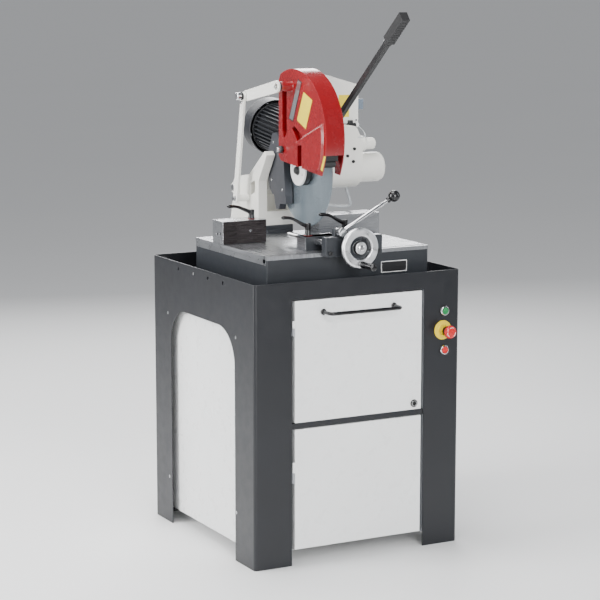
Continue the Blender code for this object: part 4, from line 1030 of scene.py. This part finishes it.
def build_electrics():
    low = BOX_FLOOR
    outline = [(0.086, low), (0.215, low), (0.215, 1.406), (0.086, 1.4425)]
    hollow = [(0.0885, low + 0.0025), (0.2125, low + 0.0025), (0.2125, 1.404), (0.0885, 1.4392)]
    shape(
        "v_electrical_box", extrusion(outline, "Y", 0.03, 0.1), 0.0025, "plate_white",
        cuts=(extrusion(hollow, "Y", 0.0325, 0.11), rod((0.2, 0.06, SWITCH_Z), (0.22, 0.06, SWITCH_Z),
                0.005, 32)), segments=3)
    shape(
        "v_box_lid", extrusion([(0.089, low + 0.003), (0.212, low + 0.003), (0.212, 1.4035),
                (0.089, 1.4385)], "Y", 0.097, 0.0995), 0.0008, "plate_white", "head")
    shape(
        "v_box_label", extrusion(rounded((0.144, 1.305), (0.1812, 1.375), 0.002), "Y", 0.0297, 0.0303), 0.0,
        "label_yellow", "head")
    socket_screws(
        "v_box_screw", [(sx, 0.0301, sz) for sx, sz in ((0.094, 1.294), (0.207, 1.294), (0.094, 1.43),
                (0.207, 1.398))], -Y, 0.0032, 0.0014, "head", "turned")
    turned(
        "v_box_gland", [(0, 0), (0.0075, 0), (0.0075, 0.026), (0.006, 0.03), (0, 0.03)],
        (0.172, 0.024, 1.279), X, 40, 0.0012, "satin_black", "head")
    shape(
        "v_gland_bracket", block((0.176, 0.018, 1.274), (0.19, 0.0302, 1.295)), 0.0015, "satin_black",
        "head")
    turned(
        "v_gland_cap", [(0, 0), (0.0085, 0), (0.0085, 0.008), (0.006, 0.011), (0, 0.011)],
        (0.201, 0.024, 1.28), X, 40, 0.0015, "label_white", "head", "cast_white")
    cable = smooth_route(
        [(0.207, 0.02, 1.277), (0.209, 0.002, 1.27), (0.2, -0.04, 1.256), (0.18, -0.07, 1.25),
            (0.156, -0.0815, 1.25), (0.148, -0.077, 1.249)], 0.004)
    tube("v_box_cable", cable, 0.0013, 12, "hose_grey", "head")
    turned(
        "v_speed_switch", [(0, -0.012), (0.0046, -0.012), (0.0046, GAP), (0.0185, GAP), (0.0182, 0.004),
            (0.0165, 0.007), (0, 0.007)], (0.215, 0.06, SWITCH_Z), X, 64, 0.0008, "switch_blue")
    grip = rounded((0.055, SWITCH_Z - 0.0165), (0.065, SWITCH_Z + 0.0165), 0.0035)
    shape("v_switch_bar", extrusion(grip, "X", 0.218, 0.2478), 0.0014, "switch_blue", "speed_switch")
    shape(
        "v_switch_line", block((0.2472, 0.0592, SWITCH_Z + 0.002), (0.248, 0.0608, SWITCH_Z + 0.0145)), 0.0,
        "label_white", "speed_switch", NO_SLOT)


def build_motor():
    length, fins, root, tip = 0.28, 36, 0.066, 0.078
    fin = ((-0.5, root), (-0.22, root + 0.0008), (-0.14, tip), (0.14, tip), (0.22, root + 0.0008))
    body = extrusion(toothed((0, 0), fins, fin), "Z", 0.024, length - 0.026)
    bmesh.ops.transform(body, matrix=along(MOTOR_REAR, MOTOR_AXIS), verts=body.verts)
    shape(
        "v_motor_housing", body, 0.0006, "motor_black",
        cuts=(rod(motor_point(0.0), motor_point(length), 0.056, 48),))
    turned(
        "v_motor_front", [(0.0142, 0.0), (0.06, 0.0), (0.072, 0.004), (0.078, 0.012), (0.078, 0.0265),
            (0.0142, 0.0265)], motor_point(length - 0.0005), -MOTOR_AXIS, 96, 0.003, "motor_black", "head")
    turned(
        "v_motor_rear_ring", [(0.056, 0.012), (0.08, 0.012), (0.081, 0.03), (0.056, 0.03)],
        motor_point(0.0), MOTOR_AXIS, 96, 0.002, "motor_black", "head")
    for k in range(4):
        out = motor_spoke(45 + 90 * k)
        shape(
            f"v_motor_lug_{k}", rod(motor_point(length - 0.0275) + out * 0.0705,
                motor_point(length - 0.008) + out * 0.0705, 0.0072, 32), 0.0008, "motor_black", "head")
    ring = [
        (0, 0.0), (0.08, 0.0), (0.088, 0.0035), (0.0915, 0.01), (0.0915, 0.062), (0.0885, 0.062),
        (0.0885, 0.011), (0.086, 0.006), (0.079, 0.003), (0, 0.003)]
    slots = []
    for k in range(12):
        out, plate = motor_spoke(30 * k), motor_point(-0.0305)
        slots.append(bar(plate + out * 0.024, plate + out * 0.07, 0.0075, 0.012, MOTOR_AXIS.cross(out)))
    shape(
        "v_motor_cowl", lathe(ring, motor_point(-0.032), MOTOR_AXIS, 96, 0.0012), 0.0005, "cowl_grey",
        cuts=slots)
    refine("motor_rotor", 0.0008, "turned")
    refine("motor_fan", 0.0006, "satin_black")


def build_lever():
    foot, run = LEVER_FOOT, LEVER_AXIS
    shape(
        "v_pull_lever", bar(foot - run * 0.004, foot + run * 0.42, 0.016, 0.018), 0.0028, "satin_black",
        joins=(block((0.064, -0.078, BOX_FLOOR), (0.0857, -0.036, 1.3)),), segments=4)
    socket_screws(
        "v_lever_screw", [(0.0688, sy, 1.2998) for sy in (-0.071, -0.043)], Z, 0.0034, 0.003, "head",
        "turned")
    start, end = foot + run * 0.4203, foot + run * 0.535
    grooves = []
    for k in range(9):
        spot = foot + run * (0.432 + 0.011 * k) - LEVER_ACROSS * 0.0155
        grooves.append(rod(spot - X * 0.02, spot + X * 0.02, 0.0022, 16))
    shape(
        "v_lever_grip", bar(start, end, 0.026, 0.03), 0.0045, "rubber_black",
        cuts=[bar(foot + run * 0.45 + LEVER_ACROSS * 0.01, foot + run * 0.522 + LEVER_ACROSS * 0.01, 0.015,
                0.03)] + grooves, segments=4)
    turned(
        "v_grip_collar", band(0.0, 0.0135, 0.0, 0.01), foot + run * 0.4085, run, 48, 0.0015, "satin_black",
        "head")
    refine("trigger", 0.0012, "button_red", segments=3)


def build_blade():
    axle = (AXLE.y, AXLE.z)
    teeth, tip, root = 160, 0.175, 0.1708
    tooth = ((0.0, tip), (0.06, root + 0.0006), (0.22, root), (0.5, root + 0.001), (0.86, tip - 0.0008))
    holes = [rod((-0.01, *spot), (0.01, *spot), 0.0045, 24) for spot in arc(axle, 0.0245, 0, 270, 3)]
    shape(
        "v_saw_blade", extrusion(toothed(axle, teeth, tooth), "X", -0.00125, 0.00125), 0.0, "blade_steel",
        cuts=[rod((-0.01, *axle), (0.01, *axle), 0.0162, 48)] + holes, centre=AXLE)
    steps = [
        (0, 0), (0.015, 0), (0.015, 0.0208), (0.04, 0.0208), (0.04, 0.0345), (0.015, 0.0345), (0.015, 0.25),
        (0, 0.25)]
    turned("v_arbor", steps, (-0.0192, *axle), X, 64, 0.001, "turned")
    drives = [rod((-0.04, *spot), (-0.0245, *spot), 0.0042, 32) for spot in arc(axle, 0.033, 20, 200, 1)]
    shape(
        "v_blade_flange", lathe([(0.0154, 0.009), (0.044, 0.009), (0.0476, 0.007), (0.0485, 0.0045),
                (0.047, 0.0), (0.0154, -0.0005)], (-0.0295, *axle), X, 96, 0.0012), 0.0004, "label_white",
        cuts=drives)
    turned(
        "v_blade_hub", [(0.0156, 0.0092), (0.0462, 0.0092), (0.0475, 0.012), (0.0475, 0.026),
            (0.0462, 0.0279), (0.0156, 0.0279)], (-0.0295, *axle), X, 96, 0.0008, "satin_black", "blade",
        "steel")
    turned(
        "v_flange_bolt", [(0, 0.0098), (0.0152, 0.0098), (0.0152, -0.001), (0.0118, -0.0018),
            (0.0112, -0.0075), (0.0098, -0.0088), (0, -0.0089)], (-0.0295, *axle), X, 64, 0.0006,
        "satin_black", "blade", "steel")
    refine("worm_wheel", 0.0004, "bronze")


def grow(outline, distance):
    """The outline of a convex pocket pushed outwards by `distance`."""
    centre = sum((Vector(p) for p in outline), Vector((0, 0))) / len(outline)
    return [
        (a + math.copysign(distance, a - centre.x), b + math.copysign(distance, b - centre.y))
        for a, b in outline]


def frustum(base, base_x, top, top_x):
    """Raised pressing: an outline at `base_x` joined to another at `top_x`, with sloping sides."""
    bm = bmesh.new()
    rings = [
        [bm.verts.new((level, y, z)) for y, z in outline]
        for level, outline in ((base_x, base), (top_x, top))]
    count = len(base)
    for k in range(count):
        bm.faces.new((rings[0][k], rings[0][(k + 1) % count], rings[1][(k + 1) % count], rings[1][k]))
    bm.faces.new(reversed(rings[0]))
    bm.faces.new(rings[1])
    return bm


def build_guard():
    """Swinging guard: one pressed shell with two deep grooves, a raised corner and a pin boss."""
    left, right, skin = -0.05, 0.014, 0.0025
    outline = arc(GUARD_ARC, GUARD_R, 210, 65, 72) + [(0.065, 1.425), (0.065, 1.192), (0.052, 1.1765)]
    hollow = arc(GUARD_ARC, GUARD_R - skin, 222, 62, 72) + [(0.09, 1.42), (0.09, 1.1), (-0.3, 1.1)]
    front = arc(GUARD_ARC, 0.192, 166.5, 207, 10)
    ridge_top = [(-0.06, 1.2395)] + front + [(-0.101, 1.164), (-0.101, 1.235)]
    ridge_base = [(-0.06, 1.249)] + [
        (y - 0.003, z + (0.01 if k == 0 else 0.0)) for k, (y, z) in enumerate(front)]
    ridge_base += [(-0.1, 1.1625), (-0.1, 1.235)]
    deep = 0.0165
    channel = fillet(
        [(0.0423, 1.27), (0.0423, 1.406), (0.029, 1.409), (0.0102, 1.406), (0.0102, 1.262), (0.03, 1.245)],
        0.007, 4)
    upper = fillet(
        [(-0.0226, 1.2825), (-0.04, 1.289), (-0.094, 1.264), (-0.088, 1.2505), (-0.06, 1.243)], 0.004, 4)
    lower = [(-0.0585, 1.231), (-0.0985, 1.236), (-0.0985, 1.14), (-0.0585, 1.14)]
    pockets = [channel, upper, lower]
    floors = [
        grow(channel, 0.0022), grow(upper, 0.0022), [(-0.0563, 1.2332), (-0.1007, 1.2382),
            (-0.1007, 1.1625), (-0.0563, 1.166)]]
    walls = [extrusion(o, "X", left + 0.001, left + deep + 0.002) for o in floors]
    bores = [rod((-0.08, GUARD_PIVOT.y, GUARD_PIVOT.z), (-0.03, GUARD_PIVOT.y, GUARD_PIVOT.z), 0.0063, 32)]
    shell = [
        extrusion(hollow, "X", left + skin, right - skin),
        rod((0.0, *GUARD_ARC), (0.05, *GUARD_ARC), 0.15, 96), block((0.0, -0.02, 1.1), (0.05, 0.1, 1.43)),
        block((0.0, -0.185, 1.1), (0.05, 0.1, 1.3)), block((left + skin, -0.3, 1.1),
            (right - skin, -0.15, 1.213))]
    guard = shape(
        "v_guard_blank", extrusion(outline, "X", left, right), 0.0, "guard_red", "blade_guard", cuts=shell)
    blank = bmesh.new()
    blank.from_mesh(guard.data)
    bpy.data.objects.remove(guard)
    boss = lathe(
        [(0, 0), (0.0172, 0), (0.016, 0.006), (0.016, 0.037), (0.014, 0.0388), (0, 0.0388)],
        (left + 0.001, *GUARD_PIN), -X, 64, 0.0012)
    cuts = bores + [extrusion(o, "X", left - 0.02, left + deep) for o in pockets]
    shape(
        "v_blade_guard", blank, 0.0013, "guard_red", joins=walls
        + [frustum(ridge_base, left + 0.0004, ridge_top, left - 0.0075), boss], cuts=cuts, segments=3,
        angle=22)
    shape(
        "v_guard_wiper", block((left + skin + 0.0002, -0.236, 1.196), (-0.005, -0.204, 1.2125)), 0.0015,
        "satin_black", "blade_guard")
    turned(
        "v_guard_roller", [(0, 0), (0.0105, 0), (0.0115, 0.002), (0.0115, 0.034), (0.0105, 0.036),
            (0, 0.036)], (left + skin + 0.001, -0.223, 1.187), X, 48, 0.0008, "rubber_black", "blade_guard")
    turned(
        "v_guard_boss_cap", band(0, 0.0125, 0, 0.0008), (left - 0.0374, *GUARD_PIN), -X, 48, 0.0003,
        "satin_black", "blade_guard")
    turned(
        "v_guard_pin", band(0, 0.0033, 0, 0.038), (-0.108, *GUARD_PIN), X, 32, 0.0004, "turned",
        "blade_guard")
    y, z = GUARD_PIVOT.y, GUARD_PIVOT.z
    turned(
        "v_guard_bolt", [(0, 0), (0.005, 0), (0.0062, 0.0015), (0.0062, 0.038), (0, 0.038)],
        (-0.0685, y, z), X, 64, 0.0006, "chrome")
    turned(
        "v_guard_nut", [(0.0064, 0), (0.01, 0), (0.0115, 0.0018), (0.0115, 0.0085), (0.0064, 0.0085)],
        (-0.06, y, z), X, 64, 0.0008, "satin_black", "head", "steel")
    for name, look, slot, lift, corners in (
            ("name_strip", "satin_black", NO_SLOT, 0.0,
                [(-0.064, 1.435), (-0.089, 1.4256), (-0.0315, 1.302), (-0.003, 1.309)]),
            ("name_face", "label_silver", NO_SLOT, 0.0003,
                [(-0.064, 1.431), (-0.085, 1.424), (-0.0305, 1.3055), (-0.008, 1.311)]),
            ("label", "label_yellow", "collar_yellow", 0.0,
                [(-0.1005, 1.3965), (-0.156, 1.3748), (-0.1145, 1.285), (-0.0575, 1.309)]),
            ("small_label", "label_yellow", "collar_yellow", 0.0,
                [(-0.231, 1.213), (-0.242, 1.211), (-0.2215, 1.165), (-0.21, 1.169)])):
        shape(
            f"v_guard_{name}", extrusion(fillet(corners, 0.0015), "X", left + 0.0002, left - 0.0006 - lift),
            0.0, look, "blade_guard", slot)


def build_hose():
    route = [
        (0.065, 0.25, 0.985), (0.084, 0.25, 0.988), (0.105, 0.243, 0.998), (0.16, 0.185, 1.011),
        (0.205, 0.115, 1.011), (0.2205, 0.09, 1.018), (0.212, 0.0835, 1.043), (0.199, 0.082, 1.081),
        (0.188, 0.077, 1.108), (0.179, 0.075, 1.116), (0.171, 0.0745, 1.1175)]
    hose = tube("v_coolant_hose", smooth_route(route, 0.005), 0.0045, 20, "hose_grey")
    hose.parent = None
    del hose["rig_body"]
    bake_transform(hose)


# ---------------------------------------------------------------- stage
FLOOR_SIZE = 300.0                             # large enough for the floor to reach the horizon
CAMERA_PLACE = (-2.8684, -5.4113, 1.7547)      # fitted to points measured in the photo
CAMERA_TILT, CAMERA_TURN = 80.57, -27.849      # degrees
SENSOR_WIDTH, LENS = 36.0, 118.3               # millimetres


def build_stage():
    floor_bm = bmesh.new()
    bmesh.ops.create_grid(floor_bm, x_segments=1, y_segments=1, size=FLOOR_SIZE)
    floor = to_object("floor", floor_bm)
    look = Finish("Floor", (0.8, 0.8, 0.8), 0.55)
    look.vary_roughness(look.noise(0.7), 0.5, 0.6)
    floor.data.materials.append(look.material)
    world = bpy.data.worlds.new("World")
    bpy.context.scene.world = world
    world.use_nodes = True
    sky = world.node_tree.nodes["Background"].inputs
    sky["Color"].default_value, sky["Strength"].default_value = (0.84, 0.87, 0.92, 1), 0.3
    sun = bpy.data.lights.new("sun", "SUN")
    sun.energy, sun.angle = 0.9, math.radians(28)
    sun_holder = bpy.data.objects.new("sun", sun)
    bpy.context.scene.collection.objects.link(sun_holder)
    sun_holder.rotation_euler = Vector((0.5, 0.42, -0.76)).to_track_quat("-Z", "Y").to_euler()

    def softbox(name, place, target, width, height, power, colour=(1, 1, 1)):
        light = bpy.data.lights.new(name, "AREA")
        light.shape = "RECTANGLE"
        light.size, light.size_y, light.energy, light.color = width, height, power, colour
        obj = bpy.data.objects.new(name, light)
        bpy.context.scene.collection.objects.link(obj)
        obj.location = place
        obj.rotation_euler = (Vector(target) - Vector(place)).to_track_quat("-Z", "Y").to_euler()
    softbox("key", (-0.6, -4.2, 1.9), (0, 0, 0.6), 1.6, 2.6, 175)
    softbox("left", (-3.6, 0.4, 1.8), (0, 0, 0.8), 1.4, 2.6, 190)
    softbox("right", (3.2, -1.8, 2.2), (0, 0, 0.9), 1.0, 2.4, 40, (0.92, 0.96, 1.0))
    softbox("top", (-0.6, 0.4, 3.6), (0, 0, 1.0), 1.8, 1.8, 110)
    softbox("rim", (1.0, 3.6, 2.6), (0, 0, 1.1), 3.4, 1.4, 150)

    camera = bpy.data.cameras.new("camera")
    holder = bpy.data.objects.new("camera", camera)
    bpy.context.scene.collection.objects.link(holder)
    holder.location = CAMERA_PLACE
    holder.rotation_euler = (math.radians(CAMERA_TILT), 0, math.radians(CAMERA_TURN))
    camera.sensor_width, camera.lens = SENSOR_WIDTH, LENS
    bpy.context.scene.camera = holder


for build in (
        build_stand, build_doors, build_controls, build_coolant, build_bed, build_fences, build_vise,
        build_handwheel, build_quick_lever, build_turntable, build_console, build_guard_post, build_gearbox,
        build_electrics, build_motor, build_lever, build_blade, build_guard, build_hose, build_stage):
    build()
